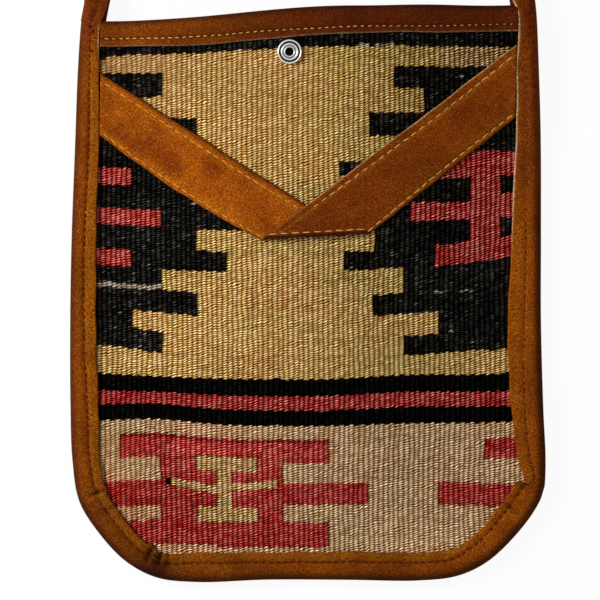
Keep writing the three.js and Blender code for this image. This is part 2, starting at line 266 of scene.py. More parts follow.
kilimFinish = {
    "slant": -0.85,         # how far a bead leans across its rib, in beads
    "waver": 0.25,          # how far a bead is pushed along its rib, in beads
    "waverGrain": (800.0, 2.0, 0.5),
    "gapShade": 0.06,       # painted shade between beads, painted highlight at a bead's middle, painted shade between ribs
    "crestShade": 2.6,
    "valleyShade": 0.33,
    "crestNarrow": 2.1,     # the higher, the narrower the bright middle of a bead and of a rib
    "ribNarrow": 1.3,
    "beadSpread": 0.5,      # brightness change from bead to bead
    "fibreGrain": (1500.0, 3.0, 0.65),
    "fibreStretch": (1.0, 2.6, 1.0),
    "fibreShade": (0.72, 1.28),
    "deepest": 0.02,        # darkest painted shade of a gap
    "darkPower": 2.5,       # contrast of the painted shade and highlight, for a dye that swallows all light and for one that throws most back
    "palePower": 1.05,
    "paleDye": 0.28,
    "crestSheen": (0.0, 0.09, 0.12),     # painted sheen on bright crests: how much of each colour they throw back beside their dye
    "sheenPower": 2.0,
    "sheenlessBlue": 0.1,          # blue at and above which a dye gets no painted sheen
    "gapHeight": 0.35,      # relief between beads and of the fibres, as shares of a rib's
    "fibreHeight": 0.12,
    "bumpStrength": 0.8,
    "bumpHeight": 0.3,
    "roughness": 0.95,
    "specular": 0.0,
}


def kilimMaterial():
    # the weave map counts ribs across and beads along; odd ribs are half a bead later, and beads slant.
    # tone = painted rib shade times painted bead shade and highlight times chance times fibre, pulled towards
    # 1 where the contrast is low
    look = kilimFinish
    material, tree, shader = newMaterial("kilimWool")
    ribs, beads = readWeave(tree)
    rib = calc(tree, "FLOOR", ribs)
    across = calc(tree, "FRACT", ribs)
    late = calc(tree, "MULTIPLY", calc(tree, "MODULO", rib, 2.0), 0.5)
    lean = calc(tree, "MULTIPLY_ADD", across, look["slant"], -0.5 * look["slant"])
    waver = fit(tree, noise(tree, look["waverGrain"]), -look["waver"], look["waver"])
    place = calc(tree, "ADD", calc(tree, "ADD", beads, late), calc(tree, "ADD", lean, waver))
    ribHump = arch(tree, across)
    beadHump = arch(tree, calc(tree, "FRACT", place))
    ribPaintedShade = fit(tree, calc(tree, "POWER", ribHump, look["ribNarrow"]), look["valleyShade"], 1.0)
    beadPaintedLight = calc(tree, "POWER", beadHump, look["crestNarrow"])
    beadPaintedLight = fit(tree, beadPaintedLight, look["gapShade"], look["crestShade"])
    spot = addNode(tree, "CombineXYZ", {0: rib, 1: calc(tree, "FLOOR", place)}).outputs[0]
    chance = addNode(tree, "TexWhiteNoise", {"Vector": spot}, noise_dimensions="2D").outputs["Value"]
    beadChance = fit(tree, chance, 1.0 - look["beadSpread"] / 2, 1.0 + look["beadSpread"] / 2)
    fibre = fit(tree, noise(tree, look["fibreGrain"], look["fibreStretch"]), *look["fibreShade"])
    tone = calc(tree, "MULTIPLY", ribPaintedShade, beadPaintedLight)
    tone = calc(tree, "MULTIPLY", tone, calc(tree, "MULTIPLY", beadChance, fibre))
    weft = read(tree, "weft")
    tone = calc(tree, "MULTIPLY_ADD", calc(tree, "SUBTRACT", tone, 1.0), weft["Alpha"], 1.0)
    tone = calc(tree, "MAXIMUM", tone, look["deepest"])
    dyed = addNode(tree, "SeparateColor", {0: weft["Color"]}).outputs
    # painted sheen on the crests, strongest for dyes with little blue
    crest = calc(tree, "MAXIMUM", calc(tree, "SUBTRACT", tone, 1.0), 0.0)
    # share of the painted sheen: full for a dye with no blue, none at sheenlessBlue and above
    lost = fit(tree, dyed[2], 1.0, 0.0, look["sheenlessBlue"])
    paintedSheen = calc(tree, "MULTIPLY", calc(tree, "POWER", crest, look["sheenPower"]),
                calc(tree, "MULTIPLY", dyed[0], lost))
    shown = {}
    for channel in range(3):            # a dye's painted shade and highlight show most contrast in the colour it swallows
        power = fit(tree, dyed[channel], look["darkPower"], look["palePower"], look["paleDye"])
        lit = calc(tree, "MULTIPLY", dyed[channel], calc(tree, "POWER", tone, power))
        shown[channel] = calc(tree, "MULTIPLY_ADD", paintedSheen, look["crestSheen"][channel], lit)
    height = calc(tree, "MULTIPLY", ribHump, fit(tree, beadHump, look["gapHeight"], 1.0))
    height = calc(tree, "ADD", height, calc(tree, "MULTIPLY", fibre, look["fibreHeight"]))
    finishShader(tree, shader, look, addNode(tree, "CombineColor", shown).outputs[0], height)
    return material


leatherFinish = {
    "mottleGrain": (85.0, 4.0, 0.6),
    "speckleGrain": (2200.0, 2.0, 0.6),
    "napGrain": (720.0, 3.0, 0.7),
    "speckle": 8.0,         # doublings of brightness over the whole range of the fine grain and of the nap
    "nap": 2.2,
    "level": -0.12,         # doublings that keep the mean as painted
    "grainPower": (0.85, 1.1, 1.2),     # dark grain is redder, bright grain yellower
    "mottle": ((0.8, 1.2), (0.6, 1.4), (0.4, 1.6)),     # range of each colour over the broad mottle
    "speckleHeight": 0.5,   # relief of the fine grain, as a share of the nap's
    "bumpStrength": 0.55,
    "bumpHeight": 0.35,
    "roughness": (0.7, 0.9),
    "specular": 0.02,
}


def leatherMaterial():
    # worn hide: broad mottle times 2 to the power of fine grain and nap, over the painted colour
    look = leatherFinish
    material, tree, shader = newMaterial("wornLeather")
    mottle = noise(tree, look["mottleGrain"])
    speckle = noise(tree, look["speckleGrain"])
    nap = noise(tree, look["napGrain"])
    fine = calc(tree, "MULTIPLY_ADD", speckle, look["speckle"], look["level"] - look["speckle"] / 2)
    grain = calc(tree, "MULTIPLY_ADD", calc(tree, "SUBTRACT", nap, 0.5), look["nap"], fine)
    stain = {}
    for channel in range(3):
        tone = calc(tree, "POWER", 2.0, calc(tree, "MULTIPLY", grain, look["grainPower"][channel]))
        stain[channel] = calc(tree, "MULTIPLY", tone, fit(tree, mottle, *look["mottle"][channel]))
    hide = times(tree, read(tree, "tint")["Color"], addNode(tree, "CombineXYZ", stain).outputs[0])
    height = calc(tree, "MULTIPLY_ADD", speckle, look["speckleHeight"], nap)
    finishShader(tree, shader, look, hide, height, fit(tree, nap, *look["roughness"]))
    return material


threadFinish = {
    "fibreGrain": (2200.0, 3.0, 0.6), "shade": (0.7, 1.3),
    "bumpStrength": 0.5, "bumpHeight": 0.1, "roughness": 0.9, "specular": 0.02,
}


def threadMaterial():
    # waxed yarn: fine fibres over the painted colour
    look = threadFinish
    material, tree, shader = newMaterial("waxedThread")
    fibre = noise(tree, look["fibreGrain"])
    yarn = times(tree, read(tree, "tint")["Color"], fit(tree, fibre, *look["shade"]))
    finishShader(tree, shader, look, yarn, fibre)
    return material


cottonFinish = {
    "slubGrain": (160.0, 4.0, 0.55), "slub": (0.85, 1.15), "shade": (0.6, 1.1),
    "bumpStrength": 0.5, "bumpHeight": 0.12, "roughness": 0.9, "specular": 0.5,
}


def cottonMaterial():
    # plain cotton: two crossed sets of fine threads in the weave map, with painted shade between the threads
    look = cottonFinish
    material, tree, shader = newMaterial("cottonLining")
    warp, weft = (calc(tree, "ABSOLUTE", arch(tree, threads)) for threads in readWeave(tree))
    cloth = calc(tree, "MULTIPLY", warp, weft)
    slub = fit(tree, noise(tree, look["slubGrain"]), *look["slub"])
    tone = calc(tree, "MULTIPLY", fit(tree, cloth, *look["shade"]), slub)
    finishShader(tree, shader, look, times(tree, read(tree, "tint")["Color"], tone), cloth)
    return material


nickelFinish = {
    "plate": (0.74, 0.73, 0.70, 1.0), "grimeAndShade": (0.003, 0.003, 0.003, 1.0),
    "rubGrain": (900.0, 4.0, 0.65), "shade": (0.85, 1.1), "roughness": (0.16, 0.34), "grimeAndShadeRoughness": 0.4,
}


def nickelMaterial():
    # bright plate, dull and dark where grime sits, with painted dark reflection in rings of the face and
    # painted shade in the hole
    look = nickelFinish
    material, tree, shader = newMaterial("nickelPlate")
    grimeAndShade = read(tree, "grimeAndShade")["Fac"]
    rub = noise(tree, look["rubGrain"])
    blend = addNode(tree, "Mix", {"Factor": grimeAndShade, "A": look["plate"], "B": look["grimeAndShade"]}, data_type="RGBA")
    plate = [socket for socket in blend.outputs if socket.type == "RGBA"][0]
    plug(tree, shader.inputs["Base Color"], times(tree, plate, fit(tree, rub, *look["shade"])))
    dull = calc(tree, "MULTIPLY_ADD", grimeAndShade, look["grimeAndShadeRoughness"], fit(tree, rub, *look["roughness"]))
    plug(tree, shader.inputs["Roughness"], dull)
    shader.inputs["Metallic"].default_value = 1.0
    return material


kilimWool = kilimMaterial()
wornLeather = leatherMaterial()
waxedThread = threadMaterial()
cottonLining = cottonMaterial()
nickelPlate = nickelMaterial()
print("materials made")


# Shape of the bag, as the frame has it

edgeLow, edgeHigh = nodeBox("edge_binding")
bag = {
    "half": edgeHigh[0],
    "bottom": edgeLow[1],
    "mouthHigh": edgeHigh[1],
    "mouthDrop": 8.0,       # how much lower the mouth is at the left, and where it climbs
    "climb": (-95.0, 25.0),
    "mouthSag": 0.4,        # dip of the mouth: depth, x and reach
    "sagX": 16.0,
    "sagReach": 62.0,
    "sideTaper": 5.0,
    "cornerRise": 62.0,
    "bindingWidth": 14.0,
    "topBindingWidth": 12.5,
    "leather": 1.3,
    "puff": 12.0,           # pillow of the front: height, fullness, flat margin and run up from the bottom
    "fullness": 1.25,
    "margin": 3.0,
    "bottomRise": 120.0,
    "mouthLift": 3.2,       # extra thickness of the side seams near the mouth, and its run
    "liftRun": 70.0,
    "snapRise": 6.9,        # height at the press stud, radius of its flat and reach of the dip round it
    "snapFlat": 9.0,
    "snapReach": 60.0,
}
# heights of the layers before the front rises
layer = {
    "backFace": 1.6, "backInside": 3.8, "backLining": 4.1, "frontLining": 5.0, "frontInside": 5.9,
    "frontFace": 8.1, "trim": 8.4, "edgeTop": 9.7,
}
snapLow, snapHigh = nodeBox("snap_eyelet")
snapX, snapY = ((snapLow + snapHigh) / 2)[:2]
mouthLow = bag["mouthHigh"] - bag["mouthDrop"]


def mouthEdge(x):
    slope = between(mouthLow, bag["mouthHigh"], ease(x, *bag["climb"]))
    return slope - bag["mouthSag"] * hill(x, bag["sagX"], bag["sagReach"])


def lift(y):                            # extra thickness of the side seams near the mouth
    end = mouthLow - bag["topBindingWidth"]
    return bag["mouthLift"] * ease(y, end - bag["liftRun"], end)


def rise(x, y):
    # height of the front over the flat layers: a pillow across and up, drawn in round the press stud
    cornerTop = bag["bottom"] + bag["cornerRise"]
    climb = np.clip((y - cornerTop) / (bag["mouthHigh"] - cornerTop), 0, 1)
    reach = bag["half"] - bag["sideTaper"] * climb ** 2 - bag["bindingWidth"] - bag["margin"]
    seam = bag["bottom"] + bag["bindingWidth"] + bag["margin"]
    bulge = np.clip(1 - (x / reach) ** 2, 0, 1) ** bag["fullness"] * ease(y, seam, seam + bag["bottomRise"])
    full = between(lift(y), bag["puff"], bulge)
    away = np.hypot(x - snapX, y - snapY)
    return between(bag["snapRise"], full, ease(away, bag["snapFlat"], bag["snapReach"]))


# Bound edge: outer line with the binding's width beside each point, down the left side and up the right
edgeSteps = 560
boundEdge = evenCurve([
    (-111.5, 150.0, 13.0), (-112.0, 143.0, 11.6), (-113.2, 136.0, 10.0), (-114.9, 112.0, 11.1),
    (-116.3, 76.0, 12.1), (-118.1, 28.0, 12.5), (-118.8, -12.0, 13.2), (-118.7, -54.0, 14.2),
    (-117.7, -83.0, 14.0), (-114.3, -103.5, 14.4), (-105.2, -118.5, 14.8), (-91.3, -133.4, 14.0),
    (-76.0, -141.6, 13.0), (-56.0, -144.0, 14.6), (-20.0, -142.8, 14.0), (20.0, -142.9, 14.1),
    (56.0, -143.2, 14.3), (75.0, -140.8, 13.8), (90.2, -133.4, 14.2), (107.3, -116.4, 15.7),
    (115.8, -103.5, 15.3), (117.6, -98.2, 14.4), (118.3, -95.4, 10.9), (118.7, -82.0, 13.8),
    (117.6, -58.0, 16.1), (116.4, -14.0, 16.7), (116.4, 28.0, 15.0), (116.3, 76.0, 12.7),
    (115.3, 112.0, 11.6), (114.1, 140.0, 9.4), (113.0, 150.0, 12.0),
], edgeSteps)
edgeX, edgeY, edgeWidth = boundEdge.T
edgeLine = boundEdge[:, :2]
edgeWay = unit(np.gradient(edgeLine, axis=0))
edgeInward = np.stack([-edgeWay[:, 1], edgeWay[:, 0]], -1)
edgeRun = runLength(edgeLine)


def sideLine(sign, inset):
    # x, for any y, of a line beside the bound edge; inset is its distance, for all or each point
    line = edgeLine + edgeInward * np.broadcast_to(inset, edgeSteps)[:, None]
    middle = edgeSteps // 2
    side = line[:middle] if sign < 0 else line[:middle - 1:-1]
    fall = np.minimum.accumulate(side[:, 1])
    return lambda y: np.interp(-y, -fall, side[:, 0])


leftInner, rightInner = sideLine(-1, edgeWidth), sideLine(1, edgeWidth)


# Shoulder strap: a folded strip laid in a loose loop beyond the mouth, where it crosses itself once
strap = {
    "width": 12.5, "thickness": 4.4, "steps": 520, "sectionSteps": 44,
    "squareAcross": 0.55, "squareUp": 0.62,     # the lower, the squarer the section
    "seam": 1.0, "groove": 0.55, "grooveReach": 0.9,
    "colour": linear(92, 37, 3), "rim": linear(66, 26, 3), "rimSpan": (3.2, 6.2),
    "blotches": [(0.13, 35.0)], "seamShade": 0.5, "seamShadeReach": 0.7,
    "route": [
        (-107.3, 135.2, 6.4), (-105, 147, 5.8), (-100, 170, 3.9), (-90, 192, 2.7), (-72, 215, 2.4),
        (-40, 243, 2.4), (0, 272, 2.4), (42, 302, 2.4), (78, 333, 2.4), (98, 366, 2.4),
        (98, 402, 2.4), (78, 434, 2.4), (42, 454, 2.4), (0, 460, 2.4), (-42, 454, 2.4),
        (-78, 434, 2.4), (-98, 402, 2.4), (-98, 366, 2.4), (-78, 333, 2.8), (-42, 302, 4.6),
        (-14, 282, 7.2), (0, 272, 7.5), (14, 262, 7.2), (40, 243, 4.8), (74, 214, 2.9),
        (93, 192, 3.3), (103, 168, 5), (107.4, 143.2, 6.4),
    ],
}


def strapFrame(count):
    # points, sideways and upward directions along the route; sideways stays level
    line = evenCurve(strap["route"], count)
    way = unit(np.gradient(line, axis=0))
    side = unit(np.cross(way, [0, 0, 1.0]))
    return line, side, np.cross(side, way)


def makeStrap():
    # a flat oval section with a sewn groove, carried along the route
    look = strap
    line, side, up = strapFrame(look["steps"])
    turn = np.linspace(0, 2 * np.pi, look["sectionSteps"], endpoint=False)
    across = np.sign(np.cos(turn)) * np.abs(np.cos(turn)) ** look["squareAcross"] * look["width"] / 2
    height = np.sign(np.sin(turn)) * np.abs(np.sin(turn)) ** look["squareUp"] * look["thickness"] / 2
    sunk = look["groove"] * hill(across, look["seam"], look["grooveReach"])
    height = height - np.sign(np.sin(turn)) * sunk
    spots = line[:, None] + side[:, None] * across[None, :, None] + up[:, None] * height[None, :, None]
    rim = ease(np.abs(across), *look["rimSpan"])[None, :] * np.ones((len(line), 1))
    wear = blotches(look["blotches"], spots[..., 0], spots[..., 1])
    shade = wear * (1 - look["seamShade"] * hill(across, look["seam"], look["seamShadeReach"]))[None, :]
    colours = mix(look["colour"], look["rim"], rim) * shade[..., None]
    mesh = newMesh("strap_leather", spots, tubeFaces(len(line), len(turn)), tint=colours)
    piece = addPiece(mesh, wornLeather, "shoulder_strap")


makeStrap()


# Folded strips: edge binding and top bindings

fold = {
    "frontSteps": 34, "crowding": 1.25,     # rows across the front face, crowded towards its cut edge
    "bendSteps": 18, "backSteps": 16, "insideSteps": 9,
    "cutRound": 0.55, "cutFade": 42.0,      # rounding of the cut edge, and how fast it ends across the face
    "reliefSpan": (0.6, 3.0),               # depth over which the relief begins beside the fold
    "frontShare": 0.9,                      # how far a row has to face the front to carry a stitch
}
darkest = 0.002                             # no leather is painted darker


def foldedStrip(place, inward, width, low, high, relief):
    # section of a strip folded round an edge: outer face from the front's inner edge round the fold to the
    # back's inner edge, then the inner face back again one leather thickness inside. Gives the points, their
    # depth from the fold and from the inner edge, and face: 1 in front, -1 behind, 0 inside
    wall = bag["leather"]
    width, low, high = width[:, None], low[:, None], high[:, None]
    half, middle = (high - low) / 2, (high + low) / 2
    share = np.linspace(0, 1, fold["frontSteps"])[None, :] ** fold["crowding"]
    bend = np.linspace(np.pi / 2, -np.pi / 2, fold["bendSteps"])[None, 1:-1]
    front = width - share * (width - half)
    back = width - np.linspace(1, 0, fold["backSteps"])[None, :] * (width - half)
    inside = width - np.linspace(0, 1, fold["insideSteps"])[None, :] * (width - half)
    depth = np.hstack([front, half - half * np.cos(bend), back,
                       inside, half - (half - wall) * np.cos(bend), inside[:, ::-1]])
    rounded = high - fold["cutRound"] * np.exp(-share * fold["cutFade"])
    height = np.hstack([rounded, middle + half * np.sin(bend), low * np.ones_like(back),
                        (low + wall) * np.ones_like(inside), middle - (half - wall) * np.sin(bend),
                        (high - wall) * np.ones_like(inside)])
    face = np.r_[np.ones(front.shape[1]), 0.5 + 0.5 * np.sin(bend[0]), -np.ones(back.shape[1])]
    face = np.r_[face, np.zeros(depth.shape[1] - len(face))]
    fromEdge = width - depth
    raised = np.clip(face, 0, 1) * relief(fromEdge) * ease(depth, *fold["reliefSpan"])
    height = height + raised + (face < 0) * np.maximum(-relief(fromEdge), 0)
    spots = np.concatenate([place[:, None] + inward[:, None] * depth[..., None], height[..., None]], -1)
    return spots, depth, fromEdge, face


def closedStrip(name, spots, colours, node):
    mesh = newMesh(name, spots, tubeFaces(*spots.shape[:2]), tint=np.clip(colours, darkest, 1))
    addPiece(mesh, wornLeather, node)


edgeBinding = {
    "widthWaver": (0.3, 28.0),              # strength and reach
    # seam: distance from the inner edge, further in at half height, closer at the low right corner
    "stitchIn": 5.0, "furtherLeft": 1.3, "furtherRight": 3.0,
    "furtherX": (90.0, 112.0), "furtherY": (-8.0, 62.0),
    "closer": [(1.3, (70.0, 86.0), (-92.0, -102.0))],
    "grooveDepth": 0.42, "grooveReach": 0.9,
    "sewnPastLeft": 5.0, "sewnEnd": (-2.0, 6.0),    # where the seam ends, from the mouth
    # how much of the seam is lost at the right, low and high
    "lostLow": 0.5, "lostLowSpan": (-95.0, -60.0), "lostHigh": 0.85, "lostHighSpan": (25.0, 60.0),
    "swells": [(0.196, -2.6, 1.6), (0.28, 3.3, 2.4)],   # height, distance from the seam, reach
    # sleeves that close on the strap past the mouth
    "sleeveLow": 2.8, "sleeveHigh": 10.0, "sleeveSpan": (-3.0, 5.5), "sleeveSlope": 0.07, "slopeFrom": 2.0,
    # tucks taken in the strip: place, length along the edge, depth and how far the inner edge is pushed out
    "tucks": [(-107.0, -100.5, 2.2, 1.6, 1.6), (-100.0, -110.0, 3.2, 0.45, 0.0),
              (-79.5, -131.0, 2.4, 1.8, 1.8), (-74.0, -134.0, 2.0, 1.4, -0.9),
              (88.0, -125.0, 2.6, 0.6, 0.5), (103.0, -108.0, 2.6, 0.8, 0.0), (109.0, -96.0, 2.4, 0.9, 0.0)],
    # a tuck's middle and reach, in its own lengths: pushed edge, swelling, dip and shade
    "tuckInset": 8.0, "tuckSpan": (3.0, 8.0), "tuckPush": (-0.6, 1.1), "tuckSwell": 0.8,
    "tuckSwellAt": (1.0, 0.8), "tuckDipAt": (-0.2, 0.45), "tuckShadeAt": (-0.2, 0.5),
    # fine puckers at the corners, and the uneven nap
    "pucker": 0.16, "puckerX": (56.0, 76.0), "puckerY": (-84.0, -104.0), "puckerSpan": (4.0, 10.0),
    "puckerPace": 1.35, "puckerDrift": 2.0, "driftPace": 0.31,
    "nap": 0.16, "napReach": 11.0, "napSpan": (2.0, 6.0),
    # groove is a painted shade colour: the sewn groove, the tuck creases and the shadow beside the left inner
    # edge
    "inner": linear(126, 67, 8), "outer": linear(117, 56, 5), "rim": linear(62, 26, 4),
    "rightRimShade": linear(34, 13, 4), "groove": linear(48, 16, 6), "rawEdge": linear(196, 160, 112),
    "upperRight": linear(106, 44, 6), "strap": strap["colour"],
    "rightSide": (60.0, 100.0),
    # the right side and the rim carry painted shade, darkest on the right, away from the lamp
    "outerSpan": (-1.4, 1.4), "rightOuterShade": 0.7,
    "rimShadeShare": 0.85, "rimShadeTurn": (20.0, 100.0), "rimShadeFrom": 0.6, "rimShadeWide": 5.2,
    "rimShadeWider": [(1.6, (50.0, 90.0), (-60.0, -100.0))],
    "stains": [("strap", (0.95, anywhere, (108.0, 140.0))),
               ("upperRight", (0.6, (60.0, 100.0), (25.0, 60.0)))],
    "grooveShade": 0.45, "grooveShadeReach": 0.6, "tuckShade": 0.6, "shadeMost": 0.95,
    # cut edges, the right one a pale raw edge partly painted highlight facing the lamp and the left one a
    # painted shadow: colour, strength, distance from the inner edge, reach, span across x, span and end
    # across y
    "cutEdges": [("rawEdge", 0.75, 0.1, 0.65, (60.0, 95.0), (15.0, 60.0), never),
                 ("groove", 0.7, 0.0, 0.45, (-60.0, -95.0), anywhere, never),
                 ("rawEdge", 0.4, 0.3, 0.5, (-60.0, -95.0), (119.0, 125.0), (133.0, 136.0))],
    # brightness: patches, then glints as strength, span across x, middle and reach across y
    "light": [(-0.08, (60.0, 100.0), (45.0, 90.0)), (0.3, (60.0, 100.0), (-95.0, -112.0)),
              (-0.12, anywhere, (-122.0, -132.0)), (-0.22, (-60.0, -90.0), (-95.0, -110.0))],
    "glints": [(0.12, (60.0, 100.0), -10.0, 60.0), (0.16, (-60.0, -90.0), 5.0, 50.0)],
    "cornerShade": 0.45, "cornerShadeX": -75.0, "cornerShadeY": -138.0, "cornerShadeReach": 9.0,    # painted shade at the low left corner, by its tucks
    "blotches": [(0.14, 46.0), (0.1, 14.0)],
}


def sewnShare():                        # 1 along the seam, 0 on the strap's sleeves, faint at the upper right
    look = edgeBinding
    top = np.where(edgeX < 0, mouthLow + look["sewnPastLeft"], bag["mouthHigh"])
    lost = look["lostLow"] * ease(edgeY, *look["lostLowSpan"])
    lost = between(lost, look["lostHigh"], ease(edgeY, *look["lostHighSpan"]))
    lost = lost * ease(edgeX, *look["rightSide"])
    past, end = look["sewnEnd"]
    return (1 - ease(edgeY, top + past, top + end)) * (1 - lost)


def seamIn():                           # how far the seam runs from the binding's inner edge
    look = edgeBinding
    further = np.where(edgeX < 0, look["furtherLeft"], look["furtherRight"])
    further = further * ease(np.abs(edgeX), *look["furtherX"]) * hill(edgeY, *look["furtherY"])
    return look["stitchIn"] + further - patches(look["closer"], edgeX, edgeY)


def edgeRelief(fromEdge):               # swellings on both sides of the sewn groove
    look = edgeBinding
    shape = (-1,) + (1,) * (fromEdge.ndim - 1)
    seam = seamIn().reshape(shape)
    groove = sewnShare().reshape(shape) * look["grooveDepth"] * hill(fromEdge, seam, look["grooveReach"])
    return hills(look["swells"], fromEdge - seam) - groove


def edgeStack():
    # lowest and highest z along the bound edge; past the mouth the fold closes on the strap
    look = edgeBinding
    top = np.where(edgeX < 0, mouthLow, bag["mouthHigh"])
    begin, end = look["sleeveSpan"]
    close = ease(edgeY, top + begin, top + end)
    high = between(layer["edgeTop"] + lift(edgeY), look["sleeveHigh"], close)
    sink = look["sleeveSlope"] * np.clip(edgeY - top - look["slopeFrom"], 0, None)
    return look["sleeveLow"] * close - sink, high - sink


def edgeColours(x, y, depth, fromEdge, onFront, crease):
    # inner and outer hide, painted shade on the rim and the right side, stains, then painted shade in the
    # groove and tuck creases, cut edges with a painted shadow and a painted highlight, and broad painted
    # light and shade
    look = edgeBinding
    seam = seamIn()[:, None]
    # the whole right side is painted darker, as shade away from the lamp
    outwards = np.maximum(ease(fromEdge - seam, *look["outerSpan"]),
                          look["rightOuterShade"] * ease(x, *look["rightSide"]))
    colours = mix(look["inner"], look["outer"], outwards)
    # painted shade on the rounded outer edge, darkest on the right
    rim = mix(look["rim"], look["rightRimShade"], ease(x, *look["rimShadeTurn"]))
    rimShadeWide = look["rimShadeWide"] + patches(look["rimShadeWider"], x, y)
    colours = mix(colours, rim, look["rimShadeShare"] * (1 - ease(depth, look["rimShadeFrom"], rimShadeWide)))
    for name, row in look["stains"]:
        colours = mix(colours, look[name], patches([row], x, y))
    # painted shade in the sewn groove and the tuck creases
    groove = look["grooveShade"] * sewnShare()[:, None] * hill(fromEdge, seam, look["grooveShadeReach"])
    groove = groove + look["tuckShade"] * np.clip(crease, 0, 1)
    colours = mix(colours, look["groove"], np.clip(groove, 0, look["shadeMost"]))
    # painted highlight on the right inner edge and painted shadow beside the left one
    for name, strength, centre, reach, spanX, spanY, endY in look["cutEdges"]:
        shown = strength * hill(fromEdge, centre, reach) * onFront
        shown = shown * ease(x, *spanX) * ease(y, *spanY) * (1 - ease(y, *endY))
        colours = mix(colours, look[name], shown)
    light = 1 + patches(look["light"], x, y)
    for strength, spanX, centre, reach in look["glints"]:
        light = light + strength * ease(x, *spanX) * hill(y, centre, reach)
    # painted shade at the low left corner
    away = np.hypot(x - look["cornerShadeX"], y - look["cornerShadeY"])
    light = light - look["cornerShade"] * hill(away, 0.0, look["cornerShadeReach"])
    return colours * (light * blotches(look["blotches"], x, y))[..., None]


def makeEdgeBinding():
    # the folded strip with its tucks, each a dip beside a swelling, with puckered corners and an uneven nap
    look = edgeBinding
    low, high = edgeStack()
    width = edgeWidth + slowWaver(edgeRun, *look["widthWaver"])
    tucks = []
    for tuckX, tuckY, wide, deep, push in look["tucks"]:
        beside = edgeLine + edgeInward * look["tuckInset"] - np.array([tuckX, tuckY])
        off = (edgeRun - edgeRun[np.argmin(np.linalg.norm(beside, axis=1))]) / wide
        tucks.append((off[:, None], deep))
        width = width + push * hill(off, *look["tuckPush"])
    spots, depth, fromEdge, face = foldedStrip(edgeLine, edgeInward, width, low, high, edgeRelief)
    x, y = spots[..., 0], spots[..., 1]
    onFront = np.clip(face, 0, 1)[None, :]
    crease = np.zeros_like(x)
    for off, deep in tucks:
        deep = deep * ease(depth, *look["tuckSpan"])
        swell = look["tuckSwell"] * hill(off, *look["tuckSwellAt"])
        spots[..., 2] += onFront * deep * (swell - hill(off, *look["tuckDipAt"]))
        crease += deep * hill(off, *look["tuckShadeAt"])
    run = edgeRun[:, None]
    folds = np.sin(run * look["puckerPace"] + look["puckerDrift"] * np.sin(run * look["driftPace"]))
    corner = ease(y, *look["puckerY"]) * ease(np.abs(x), *look["puckerX"]) * ease(depth, *look["puckerSpan"])
    spots[..., 2] += onFront * corner * look["pucker"] * folds
    spots[..., 2] += onFront * look["nap"] * slowNoise(x, y, look["napReach"]) * ease(depth, *look["napSpan"])
    closedStrip("edge_leather", spots, edgeColours(x, y, depth, fromEdge, onFront, crease), "edge_binding")
    print("edge binding folded round", round(float(edgeRun[-1])), "mm")
    return spots[:, face > fold["frontShare"]].reshape(-1, 3)


edgeFace = makeEdgeBinding()

topBinding = {
    "steps": 300, "gap": 0.25, "endDrop": 6.0,      # its ends meet the edge binding this far below the mouth
    "frontFold": (3.4, layer["edgeTop"]), "backFold": (0.0, 6.3),
    # x, and how much wider than its least the strip is there
    "wider": [(-104, 0.0), (-88, 0.1), (-64, 1.5), (-44, 2.2), (-24, 1.8), (6, 1.9),
              (26, 1.4), (66, 1.4), (100, 0.4)],
    "edgeWaver": (0.25, 40.0), "widthWaver": (0.3, 30.0),
    "stitchIn": 3.4, "stitchDip": 1.0, "dipX": -48.0, "dipReach": 40.0,
    "grooveDepth": 0.5, "grooveReach": 0.7, "swell": 0.35, "swellIn": 3.6, "swellReach": 2.2,
    "left": linear(108, 50, 3), "right": linear(76, 28, 2), "turn": (-70.0, 20.0),
    "fold": linear(44, 17, 2), "foldShare": 0.75, "foldSpan": (4.0, 0.4),
    "groove": linear(44, 18, 6), "grooveShade": 0.5, "grooveShadeReach": 0.8,
    "rawEdge": linear(132, 108, 82), "rawShare": 0.8, "rawReach": 0.5,
    "blotches": [(0.14, 30.0)],
}


def mouthRun(gap, steps):               # x along the mouth, from one side of the edge binding to the other
    drop = topBinding["endDrop"]
    return np.linspace(leftInner(mouthLow - drop) + gap, rightInner(bag["mouthHigh"] - drop) - gap, steps)


def topWidth(x):
    return bag["topBindingWidth"] + np.interp(x, *np.transpose(topBinding["wider"]))


def topSeam(x):                         # how far the seam runs from the strip's lower edge
    look = topBinding
    return look["stitchIn"] + look["stitchDip"] * hill(x, look["dipX"], look["dipReach"])


def topRelief(fromEdge, x):             # a swelling above the sewn groove
    look = topBinding
    swell = look["swell"] * hill(fromEdge, topSeam(x) + look["swellIn"], look["swellReach"])
    return swell - look["grooveDepth"] * hill(fromEdge, topSeam(x), look["grooveReach"])


def makeTopBinding(name, node, front):
    # folded over the mouth edge of one panel; the front one follows the rise of the bag
    look = topBinding
    x = mouthRun(look["gap"], look["steps"])
    place = np.stack([x, mouthEdge(x) + slowWaver(x, *look["edgeWaver"])], -1)
    inward = np.tile([0.0, -1.0], (len(x), 1))
    width = topWidth(x) + slowWaver(x, *look["widthWaver"])
    low, high = (np.full(len(x), level) for level in look["frontFold" if front else "backFold"])
    spots, depth, fromEdge, face = foldedStrip(place, inward, width, low, high,
                                               lambda inside: topRelief(inside, x[:, None]))
    if front:
        spots[..., 2] += rise(spots[..., 0], spots[..., 1])
    across = spots[..., 0]
    outside = (face > 0 if front else face < 0)[None, :]
    groove = look["grooveShade"] * outside * hill(fromEdge, topSeam(across), look["grooveShadeReach"])
    colours = mix(look["left"], look["right"], ease(across, *look["turn"]))
    colours = mix(colours, look["fold"], look["foldShare"] * ease(depth, *look["foldSpan"]))
    colours = mix(colours, look["groove"], groove)
    raw = look["rawShare"] * outside * hill(fromEdge, 0.0, look["rawReach"])
    colours = mix(colours, look["rawEdge"], raw)
    colours = colours * blotches(look["blotches"], across, spots[..., 1])[..., None]
    closedStrip(name, spots, colours, node)


makeTopBinding("front_top_leather", "front_top_binding", True)
makeTopBinding("back_top_leather", "back_top_binding", False)
print("top bindings folded")


